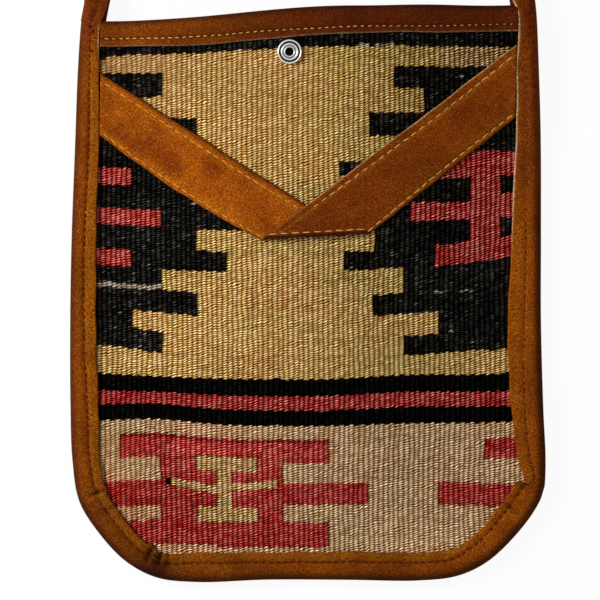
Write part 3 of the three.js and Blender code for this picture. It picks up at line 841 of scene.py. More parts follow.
# V band: two arms between four corners each, the right one lapped over the left one
band = {
    "steps": 150, "topSteps": 56, "backSteps": 12, "clipSteps": 400, "gap": 0.2,
    "lapHeight": 1.6, "lapSpan": (9.6, 33.6), "crossing": 1.5,
    "left": {"upper": [(-110.0, 114.4), (9.3, 37.2)], "lower": [(-110.0, 83.0), (-22.5, 26.3)],
             "colour": linear(133, 63, 6), "far": linear(141, 68, 9), "change": (0.05, 0.3),
             "glow": linear(168, 94, 13), "upperSeam": 3.9, "lowerSeam": 2.0, "belly": 2.9,
             "blotLift": 1.3, "yarn": "amber"},
    "right": {"upper": [(110.0, 128.8), (-23.0, 26.9)], "lower": [(110.0, 93.1), (30.6, 29.8)],
              "colour": linear(112, 50, 4), "far": linear(105, 46, 5), "change": (0.2, 1.0),
              "glow": linear(136, 76, 12), "upperSeam": 4.3, "lowerSeam": 2.4, "belly": 0.0,
              "blotLift": 0.0, "yarn": "wheat"},
    "wobble": (0.28, 22.0), "wobbleRun": 120.0,
    # relief of the top face: rounded cut edge, sewn grooves, crown and nap
    "cutRound": 0.5, "cutReach": 0.3, "grooveDepth": 0.42, "grooveReach": 0.7,
    "crown": 0.25, "crownSpan": (2.5, 7.0), "nap": 0.12, "napReach": 13.0, "napSpan": (0.5, 3.0),
    # dark blots, the largest at one place of the left arm
    "blot": linear(104, 40, 6), "blotShare": 0.7, "blotReach": 26.0, "blotSpan": (0.2, 1.3),
    "blotX": -73.0, "blotY": 67.0, "blotWide": 15.0, "blotHigh": 7.0, "blotLean": 0.45,
    "glowShare": 0.4, "glowOff": 0.4, "glowUpper": 1.9, "glowLower": 2.3,
    "groove": linear(70, 30, 6), "grooveShade": 0.12,
    # the right arm's pale cut edge, partly a painted highlight where it faces the lamp, barer past the
    # crossing; painted shadow along its edge across the point and along the left arm's upper edge, painted
    # shade at the lower edges
    "rawEdge": linear(182, 146, 96), "bare": (0.2, 0.85), "bareRun": 8.0, "bareReach": 0.36,
    "shadowEdge": linear(44, 18, 5), "tipShade": 0.92, "tipSpan": (1.3, 2.1),
    "upperShade": 0.7, "upperSpan": (-0.4, 2.6), "lowerShade": 0.42, "lowerReach": 0.6,
    "blotches": [(0.12, 40.0), (0.08, 9.0)],
    # seams: share of the arm they run along, points, and how far the left arm's stop short of the right one,
    # as the area that edge and distance span; the tip seam's share and height
    "seamSpan": (0.015, 0.985), "seamSteps": 200, "stopShort": 60.0,
    "tipSeam": 2.4, "tipRun": (0.06, 0.97), "tipSteps": 60, "tipHeight": 0.25,
}


def armLines(side):
    # ends of the upper and lower edge, from the binding's inner edge to the point of the V
    inner = leftInner if side == "left" else rightInner
    ends = []
    for start, end in (band[side]["upper"], band[side]["lower"]):
        line = between(np.array(start), np.array(end), np.linspace(0, 1, band["clipSteps"])[:, None])
        inside = np.abs(line[:, 0]) <= np.abs(inner(line[:, 1])) - band["gap"]
        ends.append((line[np.argmax(inside)], np.array(end)))
    return ends


def armEdges(side, along):              # spots along the upper and lower edge; the lower may bow downwards
    upper, lower = (between(start, end, along) for start, end in armLines(side))
    return upper, lower - np.array([0.0, 4.0 * band[side]["belly"]]) * along * (1 - along)


def bandTip():                          # both ends of the cut across the right arm's point
    return np.array([band["right"]["upper"][1], band["right"]["lower"][1]])


def bandBase(side, x, y):               # height of the arm's underside
    lap = band["lapHeight"] * (1 - ease(x, *band["lapSpan"])) if side == "right" else 0.0
    return layer["trim"] + rise(x, y) + lap


def armColours(side, x, y, along, fromLower, fromUpper, seams):
    # hide changing along the arm, blots, glowing seams and painted shade in their grooves, then the cut edges
    # with a painted highlight and painted shadow
    look, arm = band, band[side]
    colours = mix(arm["colour"], arm["far"], ease(along, *arm["change"]) * np.ones_like(x))
    blotY = y - look["blotY"] + look["blotLean"] * (x - look["blotX"])
    spread = np.hypot((x - look["blotX"]) / look["blotWide"], blotY / look["blotHigh"])
    blot = slowNoise(x, y, look["blotReach"]) + arm["blotLift"] * hill(spread, 0.0, 1.0)
    colours = mix(colours, look["blot"], look["blotShare"] * ease(blot, *look["blotSpan"]))
    glow = hill(fromUpper, arm["upperSeam"] + look["glowOff"], look["glowUpper"])
    glow = glow + hill(fromLower, arm["lowerSeam"] + look["glowOff"], look["glowLower"])
    colours = mix(colours, arm["glow"], look["glowShare"] * np.clip(glow, 0, 1))
    colours = mix(colours, look["groove"], look["grooveShade"] * np.clip(seams, 0, 1))
    if side == "right":
        upperEnd, lowerEnd = bandTip()
        tipWay = unit(lowerEnd - upperEnd)
        fromTip = np.abs((x - upperEnd[0]) * tipWay[1] - (y - upperEnd[1]) * tipWay[0])
        bare = between(*look["bare"], ease(x, look["crossing"] - look["bareRun"], look["crossing"]))
        # pale cut edge, partly a painted highlight where it faces the lamp
        colours = mix(colours, look["rawEdge"], bare * hill(fromUpper, 0.0, look["bareReach"]))
        dark = look["tipShade"] * (1 - ease(fromTip, *look["tipSpan"]))
    else:
        dark = look["upperShade"] * (1 - ease(fromUpper, *look["upperSpan"]))
    # painted shadow along the cut across the point or the left arm's upper edge, and painted shade at the
    # lower edge
    colours = mix(colours, look["shadowEdge"], dark)
    colours = mix(colours, look["shadowEdge"], look["lowerShade"] * hill(fromLower, 0.0, look["lowerReach"]))
    return colours * blotches(look["blotches"], x, y)[..., None]


def makeBandArm(side, node):
    # a flat section with rounded edges and two sewn grooves, spread between the two edge lines
    look, arm = band, band[side]
    along = np.linspace(0, 1, look["steps"])[:, None]
    upper, lower = armEdges(side, along)
    wide = np.linalg.norm(upper - lower, axis=1)[:, None]
    across = np.r_[np.linspace(0, 1, look["topSteps"]), np.linspace(1, 0, look["backSteps"])][None, :]
    onTop = (np.arange(across.shape[1]) < look["topSteps"])[None, :]
    fromLower, fromUpper = across * wide, (1 - across) * wide
    wobble = slowWaver(along[:, 0] * look["wobbleRun"], *look["wobble"])
    plan = lower[:, None] + (upper - lower)[:, None] * across[..., None]
    plan = plan + (unit(upper - lower) * wobble[:, None])[:, None] * (2 * across[..., None] - 1)
    x, y = plan[..., 0], plan[..., 1]
    edge = np.minimum(fromLower, fromUpper)
    seams = hill(fromUpper, arm["upperSeam"], look["grooveReach"])
    seams = seams + hill(fromLower, arm["lowerSeam"], look["grooveReach"])
    top = bag["leather"] - look["cutRound"] * np.exp(-edge / look["cutReach"]) - look["grooveDepth"] * seams
    top = top + look["crown"] * ease(edge, *look["crownSpan"])
    top = top + look["nap"] * slowNoise(x, y, look["napReach"]) * ease(edge, *look["napSpan"])
    spots = np.stack([x, y, bandBase(side, x, y) + onTop * top], -1)
    colours = armColours(side, x, y, along, fromLower, fromUpper, seams)
    closedStrip("band_" + side + "_leather", spots, colours, node)


makeBandArm("left", "v_band_left")
makeBandArm("right", "v_band_right")
print("V band laid")


# Woven panels

weave = {
    "ribPitch": 2.52, "firstRib": -115.92, "ribs": 92, "fineRibs": (3, 89), "ribStep": 0.5,
    "beadPitch": 1.15, "firstBead": -139.4, "beads": 247, "fineBeads": (7, 237), "spareBeads": 3,
    "frontStep": 0.5, "backStep": 4.0,      # grid steps along a rib, in beads
    "ribRelief": 0.55, "ribSquare": 0.6, "beadRelief": 0.35,
    "slitDepth": 0.7, "slitShade": 0.5, "slitWide": 0.1,
    "edgeInset": 5.15, "mouthInset": 3.45,
    # slow sway of the ribs, their shiver, and the drift of the beads along them
    "sway": 0.55, "swayReach": 70.0, "swayStretch": 0.5, "swaySpan": (0.0, 9.0),
    "shiver": 0.3, "shiverReach": 9.0, "shiverStretch": 0.6, "drift": 0.4, "driftReach": 7.0,
    "coarse": 6,            # outer columns to one of the inner face, which has half as many rows again
    "insideShade": 0.8, "cutShare": 0.975, "nudge": 1e-6,
}
sag = {
    "middle": 3.4, "middleHalf": 104.0, "middleFrom": (-129.0, -20.0), "middleTo": (30.0, 100.0),
    "right": [(2.2, (60.0, 112.0), (-70.0, -90.0))],
    # humps: height, x, reach, span across y, then shares that are lost again over further spans
    "humps": [(2.4, -76.0, 24.0, (-42.0, -58.0), [(0.7, (-90.0, -125.0))]),
              (1.7, 50.0, 30.0, (-20.0, -40.0), [(0.5, (-50.0, -66.0)), (1.0, (-66.0, -90.0))])],
}
wool = {
    "dark": linear(3.3, 3.0, 2.6), "madder": linear(136, 36, 31), "gold": linear(166, 126, 58),
    "sand": linear(168, 129, 82), "straw": linear(158, 115, 61), "cream": linear(132, 114, 98),
    "brick": linear(122, 14, 12), "rose": linear(152, 43, 34), "crimson": linear(126, 12, 8),
    "apricot": linear(169, 117, 56), "dusty": linear(165, 121, 69),
}


def droop(x, y):
    # the rows of weft sag in the middle of the bag and at its low right, and arch up over two humps
    middle = np.clip(1 - (x / sag["middleHalf"]) ** 2, 0, 1)
    middle = middle * ease(y, *sag["middleFrom"]) * (1 - ease(y, *sag["middleTo"]))
    down = sag["middle"] * middle + patches(sag["right"], x, y)
    for height, humpX, reach, spanY, losses in sag["humps"]:
        hump = hill(x, humpX, reach) * ease(y, *spanY)
        for share, lossY in losses:
            hump = hump * (1 - share * ease(y, *lossY))
        down = down - height * hump
    return down


# Weaver's chart: fields of one wool as (left, right, low, high), seen at the field's own middle, and for some
# the climb per millimetre to the right; later ones are woven over earlier ones
chart = [
    ("gold", (-120, 120, -64, 150)), ("sand", (-120, 120, -150, -64)),
    # top left steps
    ("dark", (-120, -73.2, 98, 110)), ("dark", (-120, -106, 108, 121)), ("dark", (-120, -101.5, 116.6, 121)),
    ("dark", (-120, -55.2, 78.5, 87.5)),
    # top right steps
    ("dark", (42.2, 120, 102.5, 113)), ("dark", (58.8, 120, 90, 102.5)), ("dark", (29.8, 120, 79, 90)),
    ("dark", (16.2, 70, 58.5, 65.5)),
    # left ground and its teeth
    ("dark", (-120, -89.2, -25.6, 78.5)), ("dark", (-120, -72.2, 1.5, 78.5)), ("dark", (-74, -55.8, 14, 68)),
    ("dark", (-58, -31, 32, 54)), ("dark", (-74, -39.8, 11.5, 21.6), -0.015),
    ("dark", (-91, -56.2, -9.4, 2.2), -0.05), ("dark", (-106, -72.2, -27.2, -16.4), -0.13),
    ("madder", (-120, -87.2, 54.6, 63.4)), ("madder", (-120, -72.2, 34.4, 42.6)),
    ("madder", (-120, -88.8, 14.3, 23)),
    ("cream", (-120, -73.8, 3.3, 5.6)), ("cream", (-57.2, -54.8, 44.4, 45.4)),
    # right ground and its teeth
    ("dark", (64.8, 120, -28, 84)), ("dark", (48.2, 120, -0.8, 70)), ("dark", (33.6, 60, 13, 58)),
    ("dark", (18.8, 50, 12.3, 21.4), 0.03), ("dark", (33.8, 66, -10, 0.6), 0.05),
    ("dark", (48.2, 106, -28.8, -18.4), 0.06),
    ("madder", (60, 120, 58.6, 71)), ("madder", (49.2, 82, 36.6, 45.6)), ("madder", (81.8, 96.2, 17, 71)),
    ("dark", (96.2, 120, 50.4, 59.4)), ("madder", (95, 120, 38.6, 50.4)), ("dark", (96.2, 120, 27.4, 38.6)),
    ("madder", (62.2, 120, 16.8, 27.4), 0.07),
    # stripes
    ("dark", (-120, 120, -64.8, -42)), ("madder", (-120, 120, -58.4, -50.8)),
    # bottom figure
    ("madder", (-93.8, 9.8, -84, -72.4)), ("brick", (-93.8, 9.8, -73.6, -72.2)),
    ("madder", (-73.0, -11.6, -125.6, -73)), ("madder", (-101.8, -70.8, -105.4, -93.2)),
    ("madder", (-92, 10.2, -126.6, -114)), ("madder", (-11.6, 30.2, -105.4, -94.2)),
    ("straw", (-55.8, -26.2, -88.9, -81.3)), ("straw", (-46.4, -37.4, -109.3, -82.7)),
    ("straw", (-67.2, -45.8, -97.9, -93.9), -0.11), ("straw", (-38.2, -14.8, -97.7, -93.9), 0.08),
    ("straw", (-54.8, -26.2, -113.7, -106.5)), ("dark", (-70, -68.6, -95, -91.8)),
    ("sand", (-100, -46, -150, -124.6)),
    # bottom right steps
    ("madder", (87.2, 120, -81.6, -72.2)), ("madder", (66.2, 106, -105.6, -94.6)),
]
dye = {
    "waver": (0.15, 22.0), "ribWaver": 0.08,    # uneven ends of the fields, slow and from rib to rib
    "run": 5.0,             # how far the madder has run into the pale wool around it
    # lower line of the dark wool below the top binding
    "topStripe": [(-104, 118.6), (-60, 119.5), (-24, 121.7), (6, 123.3), (66, 123.3), (104, 123.0)],
    "patchReach": 55.0,
    # share of rose in the reds: mean, slow streaks and change from bead to bead; then where reds have faded
    "rose": (0.5, 0.3, 0.15), "streakReach": 9.0, "streakStretch": 0.3,
    "fadedFrom": (-66.0, -74.0), "fadedTo": (-84.0, -96.0), "fadedX": (40.0, 70.0),
    "fadedLeft": 0.2, "fadedLeftX": -60.0, "fadedLeftY": (-20.0, 10.0), "fadedRose": 0.15, "fadedLight": 0.2,
    # share of apricot in the gold: mean, slow patches and most; dusty gold in the two upper corners
    "apricot": (0.25, 0.5, 0.8), "apricotReach": 34.0,
    "dusty": [(0.9, (-50.0, -75.0), (88.0, 104.0)), (0.9, (55.0, 75.0), (88.0, 104.0))],
    # red blush in the middle, uneven from rib to rib, and red that has run into the sand wool, in patches
    "blush": 0.42, "blushX": (-14.0, 36.0), "blushY": (-1.0, 5.0), "blushRibs": (0.55, 0.5), "blushMost": 1.4,
    "runShare": 0.6, "runPatch": (0.5, 0.6), "runLeast": 0.15, "redMost": 0.8,
    # brightness from row to row and patch to patch, of pale wool along x, and of grubby places
    "rowChange": 0.07, "rowBlend": [0.25, 0.5, 0.25], "patchChange": 0.07,
    "bleached": [(0.08, -50.0, 36.0), (-0.08, 28.0, 28.0)],
    "grubby": [(0.22, (-40.0, -92.0), (62.0, 112.0)), (0.48, (-20.0, 95.0), (50.0, 100.0)),
               (0.12, (-55.0, -85.0), (-20.0, -50.0))],
    "smudge": 0.2, "smudgeX": 48.0, "smudgeY": -83.0, "smudgeReach": 22.0,
    "grubbyLeast": 0.3, "grubbyPower": [1.0, 1.21, 1.2], "darkest": 0.0006,
    # light that dark beads throw back: mean, spread from bead to bead, rib to rib, in patches, left and right
    "shine": 0.0032, "shineSpread": 0.75, "shineRibs": (0.6, 1.4),
    "shinePatch": (0.8, 0.4), "shineLimits": (0.2, 1.5), "shineEnds": (1.15, 0.85),
    "shineX": (-60.0, 60.0), "shineY": (-42.0, -30.0), "shineTint": [1.0, 0.88, 0.7],
    # pale flecks: strength and the chance that it takes, anywhere, in one row and on the top stripe
    "fleck": 0.06, "fleckChance": 0.9988,
    "rowFleck": 0.09, "rowChance": 0.75, "fleckRow": 2.8, "rowX": (57.0, 99.0),
    "stripeFleck": 0.1, "stripeChance": 0.6, "stripeX": (14.0, 50.0),
    # contrast of the beads' painted shade and highlight: softer places, a soft middle, crisper reds towards
    # the right, soft cream
    "soft": [(0.35, (-55.0, -75.0), (88.0, 104.0)), (0.2, (-70.0, -90.0), (-66.0, -74.0))],
    "softMiddle": 0.1, "softX": (-5.0, 45.0), "softY": (55.0, 75.0), "softCream": 0.3,
    "crispReds": (0.06, 0.22), "crispX": (-60.0, 20.0), "crispY": (-62.0, -48.0),
}


def within(value, limits):
    return (value > limits[0]) & (value < limits[1])


def dyeReds(colours, isMadder, x, y):
    # reds between crimson and rose in streaks along the rows, paler where they have faded
    mean, slow, fine = dye["rose"]
    streaks = mean + slow * slowNoise(x * dye["streakStretch"], y, dye["streakReach"])
    streaks = np.clip(streaks + fine * draws.normal(0, 1, x.shape), 0, 1)
    faded = ease(y, *dye["fadedFrom"]) * (1 - ease(y, *dye["fadedTo"])) * (1 - ease(x, *dye["fadedX"]))
    faded = faded + dye["fadedLeft"] * ease(y, *dye["fadedLeftY"]) * (x < dye["fadedLeftX"])
    red = mix(wool["crimson"], wool["rose"], np.clip(streaks + dye["fadedRose"] * faded, 0, 1))
    return np.where(isMadder[..., None], red * (1 + dye["fadedLight"] * faded)[..., None], colours)


def dyePale(colours, isGold, isSand, patch, run, x, y):
    # gold with apricot patches, dusty corners and a red blush; sand with the madder that has run into it
    mean, slow, most = dye["apricot"]
    ripe = np.clip(mean + slow * slowNoise(x, y, dye["apricotReach"]), 0, most) * isGold
    colours = mix(colours, wool["apricot"], ripe)
    colours = mix(colours, wool["dusty"], patches(dye["dusty"], x, y) * isGold)
    stain = np.clip(draws.normal(*dye["blushRibs"], x.shape[1]), 0, dye["blushMost"])[None, :]
    blush = dye["blush"] * stain * hill(x, *dye["blushX"]) * hill(y, *dye["blushY"]) * isGold
    runMean, runSlow = dye["runPatch"]
    blush = blush + dye["runShare"] * run * np.clip(runMean + runSlow * patch, dye["runLeast"], 1) * isSand
    return mix(colours, wool["rose"], np.clip(blush, 0, dye["redMost"]))


def shineDark(patch, seen, topStripe, x, y):
    # light thrown back by dark beads: a log-normal chance of each bead, and pale flecks
    lit = ease(y, *dye["shineY"])
    ribShine = draws.uniform(*dye["shineRibs"], x.shape[1])[None, :] * lit
    ribShine = ribShine * between(*dye["shineEnds"], ease(x, *dye["shineX"]))
    mean, slow = dye["shinePatch"]
    shine = dye["shine"] * ribShine * np.exp(draws.normal(0, dye["shineSpread"], x.shape))
    shine = shine * np.clip(mean + slow * patch, *dye["shineLimits"])
    chance = draws.uniform(0, 1, x.shape)
    onRow = (np.abs(seen - dye["fleckRow"]) < weave["beadPitch"] / 2) & within(x, dye["rowX"])
    onStripe = within(seen, (topStripe, topStripe + weave["beadPitch"])) & within(x, dye["stripeX"])
    shine = shine + dye["fleck"] * (chance > dye["fleckChance"]) * lit
    shine = shine + dye["rowFleck"] * (onRow & (chance > dye["rowChance"]))
    return shine + dye["stripeFleck"] * (onStripe & (chance > dye["stripeChance"]))


def chartColours(x, y, plain):
    # wool of every bead, its colour as the dye changes from row to row and patch to patch, and the contrast
    # of its painted shade
    seen = y + slowWaver(x, *dye["waver"])
    seen = seen + draws.uniform(-dye["ribWaver"], dye["ribWaver"], x.shape[1])[None, :]
    names = list(wool)
    kind = np.zeros(x.shape, int)
    run = np.zeros(x.shape)
    for name, (left, right, low, high), *climb in chart:
        middle = (left + right) / 2
        level = seen - droop(middle, (low + high) / 2) - (climb[0] * (x - middle) if climb else 0.0)
        beside = np.maximum(np.maximum(left - x, x - right), 0)
        above = np.maximum(np.maximum(low - level, level - high), 0)
        kind[(beside == 0) & (above == 0)] = names.index(name)
        if name == "madder":
            run = np.maximum(run, np.exp(-np.hypot(beside, above) / dye["run"]))
    topStripe = np.interp(x, *np.transpose(dye["topStripe"]))
    kind[seen > topStripe] = names.index("dark")
    if plain:
        kind[:] = names.index("gold")
    isDark, isGold, isSand, isMadder, isCream = (
        kind == names.index(name) for name in ("dark", "gold", "sand", "madder", "cream"))
    patch = slowNoise(x, y, dye["patchReach"])
    colours = np.array([wool[name] for name in names])[kind]
    colours = dyeReds(colours, isMadder, x, y)
    colours = dyePale(colours, isGold, isSand, patch, run, x, y)

    row = np.convolve(draws.normal(0, 1, x.shape[0] + 2), dye["rowBlend"], "valid")[:, None]
    bleached = hills(dye["bleached"], x)
    light = 1 + dye["rowChange"] * row + dye["patchChange"] * patch
    colours = colours * (light * (1 + bleached * (isGold | isSand)))[..., None]
    smudge = hill(np.hypot(x - dye["smudgeX"], y - dye["smudgeY"]), 0.0, dye["smudgeReach"])
    clean = np.clip(1 - patches(dye["grubby"], x, y) - dye["smudge"] * smudge, dye["grubbyLeast"], 1)
    colours = colours * clean[..., None] ** np.array(dye["grubbyPower"])
    shine = shineDark(patch, seen, topStripe, x, y)
    colours = colours + (shine * isDark)[..., None] * np.array(dye["shineTint"])
    crisp = 1 - patches(dye["soft"], x, y) - dye["softCream"] * isCream
    crisp = crisp + between(*dye["crispReds"], ease(x, *dye["crispX"])) * isMadder * ease(y, *dye["crispY"])
    crisp = crisp - dye["softMiddle"] * hill(x, *dye["softX"]) * ease(y, *dye["softY"])
    return kind, np.concatenate([np.clip(colours, dye["darkest"], 1), crisp[..., None]], -1)


def gridSteps(total, fine, step):       # whole steps at both ends, finer ones over what shows
    low, high = fine
    return np.r_[np.arange(0, low), np.arange(low, high, step), np.arange(high, total + 1)]


def beadWool(u, v, front):
    # wool of each bead and colour of each face; slits of the flat weave get painted shade, dark lines where
    # the wool changes
    middle = (u[1:] + u[:-1]) / 2
    ribOf = np.floor(middle).astype(int)
    beadOf = np.floor((v[1:] + v[:-1])[:, None] / 2 + 0.5 * (ribOf % 2)[None, :]).astype(int)
    rib = np.arange(weave["ribs"] + 1)
    ribX = (rib + 0.5) * weave["ribPitch"] + weave["firstRib"]
    bead = np.arange(weave["beads"] + weave["spareBeads"])[:, None] + 0.5 - 0.5 * (rib % 2)[None, :]
    beadY = bead * weave["beadPitch"] + weave["firstBead"]
    kind, colours = chartColours(np.ones_like(beadY) * ribX[None, :], beadY, not front)
    shades = colours[beadOf, ribOf[None, :]]
    if front:
        slit = kind[beadOf, ribOf[None, :]] != kind[beadOf, np.maximum(ribOf - 1, 0)[None, :]]
        slit = slit & (middle % 1 < 0.5)[None, :]
        shades[..., :3] *= np.where(slit, weave["slitShade"], 1.0)[..., None]
    return kind, shades.reshape(-1, 4)


def rimFaces(fine, coarse, picked):
    # triangles between a finely stepped edge and a coarse one that starts and ends beside it
    step = np.arange(len(fine) - 1)
    owner = np.searchsorted(picked, step, side="right") - 1
    many = np.stack([coarse[owner], fine[step + 1], fine[step]], -1)
    few = np.stack([coarse[:-1], coarse[1:], fine[picked[1:]]], -1)
    return np.vstack([many, few])


def closingFaces(fine, coarse, rows, columns):      # all four edges between two grids of point numbers
    ends = [rimFaces(fine[edge, :], coarse[edge, :], columns) for edge in (0, -1)]
    sides = [rimFaces(fine[:, edge], coarse[:, edge], rows) for edge in (0, -1)]
    return np.vstack(ends + sides)


def clothSides(y):                      # x of the cloth's left and right edge, hidden in the binding
    return [sideLine(sign, weave["edgeInset"])(y) for sign in (-1, 1)]


def mouthCut(x, y):                     # y, held back to the cloth's upper edge
    return np.minimum(y, mouthEdge(x) - weave["mouthInset"])


def makePanel(name, node, front):
    # ribs along y, beads of weft over each rib: the face is sunk by the rib relief times what the rib's arch
    # lacks, and by the bead relief times the rib's arch times what the bead's arch lacks
    look = weave
    u = gridSteps(look["ribs"], look["fineRibs"], look["ribStep"])
    v = gridSteps(look["beads"], look["fineBeads"], look["frontStep" if front else "backStep"])
    kind, weft = beadWool(u, v, front)
    x0 = (u * look["ribPitch"] + look["firstRib"])[None, :] * np.ones((len(v), 1))
    y0 = (v * look["beadPitch"] + look["firstBead"])[:, None] * np.ones((1, len(u)))
    hung = y0 - (droop(x0, y0) if front else 0.0)
    left, right = clothSides(hung)
    sway = look["sway"] * slowNoise(x0 * look["swayStretch"], y0, look["swayReach"])
    sway = sway + look["shiver"] * slowNoise(x0, y0 * look["shiverStretch"], look["shiverReach"])
    sway = sway * ease(np.minimum(x0 - left, right - x0), *look["swaySpan"])
    x = np.clip(x0 + sway, left, right)
    y = mouthCut(x, hung)
    ribPlace = (x - sway - look["firstRib"]) / look["ribPitch"] + look["nudge"]
    beadPlace = v[:, None] + (y - hung) / look["beadPitch"]
    beadPlace = beadPlace + look["drift"] * slowNoise(x, y, look["driftReach"])
    across = ribPlace - np.floor(ribPlace)
    shift = beadPlace + 0.5 * (np.floor(ribPlace) % 2) + kilimFinish["slant"] * (across - 0.5)
    ribArch = np.sin(np.pi * across) ** look["ribSquare"]
    beadArch = 0.5 - 0.5 * np.cos(2 * np.pi * shift) if front else np.ones_like(shift)
    sunk = look["ribRelief"] * (1 - ribArch) + look["beadRelief"] * ribArch * (1 - beadArch)
    if front:
        rows = np.clip(np.floor(v).astype(int), 0, kind.shape[0] - 1)[:, None]
        ribs = np.clip(np.floor(u + look["nudge"]).astype(int), 1, look["ribs"])[None, :]
        slit = (kind[rows, ribs] != kind[rows, ribs - 1]) & (across < look["slitWide"])
        face = layer["frontFace"] + rise(x, y) - sunk - look["slitDepth"] * slit
        inside = layer["frontInside"] + rise(x, y)
    else:
        face, inside = layer["backFace"] + sunk, layer["backInside"] * np.ones_like(x)
    rowPick = np.unique(np.r_[0:len(v):2 * look["coarse"], len(v) - 1])
    columnPick = np.unique(np.r_[0:len(u):look["coarse"], len(u) - 1])
    pick = np.ix_(rowPick, columnPick)
    fine = np.arange(x.size).reshape(x.shape)
    coarse = np.arange(len(rowPick) * len(columnPick)).reshape(len(rowPick), -1) + x.size
    spots = np.vstack([np.stack([x, y, face], -1).reshape(-1, 3),
                       np.stack([x, y, inside], -1)[pick].reshape(-1, 3)])
    counted = np.stack([ribPlace, beadPlace], -1)
    weaveMap = np.vstack([counted.reshape(-1, 2), counted[pick].reshape(-1, 2)])
    outer = gridFaces(*x.shape).tolist()
    hidden = (gridFaces(*coarse.shape) + x.size).tolist()
    hidden += closingFaces(fine, coarse, rowPick, columnPick).tolist()
    plain = np.r_[wool["gold"] * look["insideShade"], 1.0]
    weft = np.vstack([weft, np.tile(plain, (len(hidden), 1))])
    mesh = newMesh(name, spots, outer + hidden, weaveMap=weaveMap, weft=weft)
    addPiece(mesh, kilimWool, node, weld=True)
    print(name, "woven:", sum(len(polygon.vertices) - 2 for polygon in mesh.polygons), "triangles")


makePanel("front_kilim", "front_panel", True)
makePanel("back_kilim", "back_panel", False)

lining = {
    "thread": 0.55, "colour": linear(178, 164, 136), "thickness": 0.6, "step": 3.4,
    "half": 116.0, "low": -139.0, "high": 141.0, "blotches": [(0.08, 50.0)],
}


def makeLining(name, node, front):
    # thin cotton sheet behind a panel: the same outline, flat behind the back and on the rise at the front
    look = lining
    x0, y0 = np.meshgrid(np.arange(-look["half"], look["half"], look["step"]),
                         np.arange(look["low"], look["high"], look["step"]))
    x = np.clip(x0, *clothSides(y0))
    y = mouthCut(x, y0)
    low = layer["frontLining"] + rise(x, y) if front else np.full_like(x, layer["backLining"])
    spots = np.vstack([np.stack([x, y, low + side], -1).reshape(-1, 3) for side in (look["thickness"], 0.0)])
    index = np.arange(x.size).reshape(x.shape)
    sheet = gridFaces(*x.shape)
    edges = closingFaces(index, index + x.size, *(np.arange(count) for count in x.shape))
    faces = sheet.tolist() + (sheet + x.size).tolist() + edges.tolist()
    stain = blotches(look["blotches"], spots[:, 0], spots[:, 1])
    threads = spots[:, :2] / look["thread"]
    mesh = newMesh(name, spots, faces, tint=look["colour"] * stain[:, None], weaveMap=threads)
    addPiece(mesh, cottonLining, node, weld=True)


makeLining("front_cotton", "front_lining", True)
makeLining("back_cotton", "back_lining", False)
print("linings cut")


# Press stud: turned pieces on one axis, each a profile of radius and height

stud = {
    "sides": 64, "axis": 0.01,          # radius that stands for the axis
    "face": [(6.0, 0.0), (6.25, 0.55), (6.05, 1.2), (5.65, 1.5), (5.3, 1.15), (5.0, 0.5),
             (4.65, 0.45), (4.3, 0.75), (3.9, 1.05), (3.55, 0.8), (3.3, 0.4), (2.95, 0.45),
             (2.65, 0.85), (2.3, 0.85), (2.05, 0.4), (1.9, 0.06)],
    "faceSteps": 80, "floor": 0.04, "barrel": 2.0, "seatRadius": 5.9,
    "grimeAndShade": [(1.4, 4.78, 0.42), (0.85, 2.98, 0.42)], "grimeAndShadeBelow": 1.0,    # grime with painted dark reflection in two rings: strength, radius, reach; height below which it shows
    "others": [
        ("stud_ball", "snap_stud",
         [(2.3, 0), (2.5, 0), (2.75, 0.35), (2.8, 0.8), (2.7, 1.5), (2.5, 2.3), (5.0, 2.3), (5.25, 2.5),
          (5.25, 3.3), (5.0, 3.5), (2.3, 3.5)]),
        ("stud_socket", "snap_socket",
         [(2.3, 0), (5.5, 0), (5.75, 0.25), (5.75, 4.2), (5.5, 4.7), (5.05, 5.1), (3.1, 5.1),
          (3.1, 2.8), (2.3, 2.8)]),
        ("stud_cap", "snap_cap",
         [(0.01, 0.12), (2.5, 0.06), (5.0, 0.0), (5.8, 0.2), (6.2, 0.6), (6.25, 1.1), (6.1, 1.3), (2.0, 1.3),
          (2.0, 7.5), (0.01, 7.5)]),
    ],
}


def turned(name, node, profile, grimeAndShade=0.0):
    # a closed profile carried round the stud's axis; one that starts on the axis is capped, others are rings
    turn = np.linspace(0, 2 * np.pi, stud["sides"], endpoint=False)
    radius, z = (np.broadcast_to(axis[:, None], (len(profile), len(turn))) for axis in profile.T)
    spots = np.stack([snapX + np.cos(turn) * radius, snapY + np.sin(turn) * radius, z], -1)
    if profile[0, 0] <= stud["axis"]:
        faces = tubeFaces(*radius.shape)
    else:
        faces = (gridFaces(len(profile) + 1, len(turn), True) % radius.size).tolist()
    grimeAndShade = np.broadcast_to(np.reshape(grimeAndShade, (-1, 1)), radius.shape)
    addPiece(newMesh(name, spots, faces, grimeAndShade=grimeAndShade), nickelPlate, node)


def makeStud():
    # the eyelet's pressed face with its barrel, then the three plain pieces on their own feet
    seat, foot = layer["trim"] + bag["snapRise"], snapLow[2]
    face = evenCurve(np.array(stud["face"]) + [0.0, seat], stud["faceSteps"])
    barrel = [(stud["axis"], seat + stud["floor"]), (stud["axis"], foot), (stud["barrel"], foot),
              (stud["barrel"], seat), (stud["seatRadius"], seat)]
    profile = np.vstack([face, barrel])
    radius, z = profile.T
    # painted dark reflection and grime in two rings of the face, and painted shade in the hole and barrel
    darkening = hills(stud["grimeAndShade"], radius)
    darkening = (darkening + (radius < stud["barrel"])) * (z < seat + stud["grimeAndShadeBelow"])
    turned("stud_eyelet", "snap_eyelet", profile, np.clip(darkening, 0, 1))
    for name, node, rows in stud["others"]:
        turned(name, node, np.array(rows) + [0.0, nodeBox(node)[0][2]])
    print("press stud turned")


makeStud()


# Sewing thread

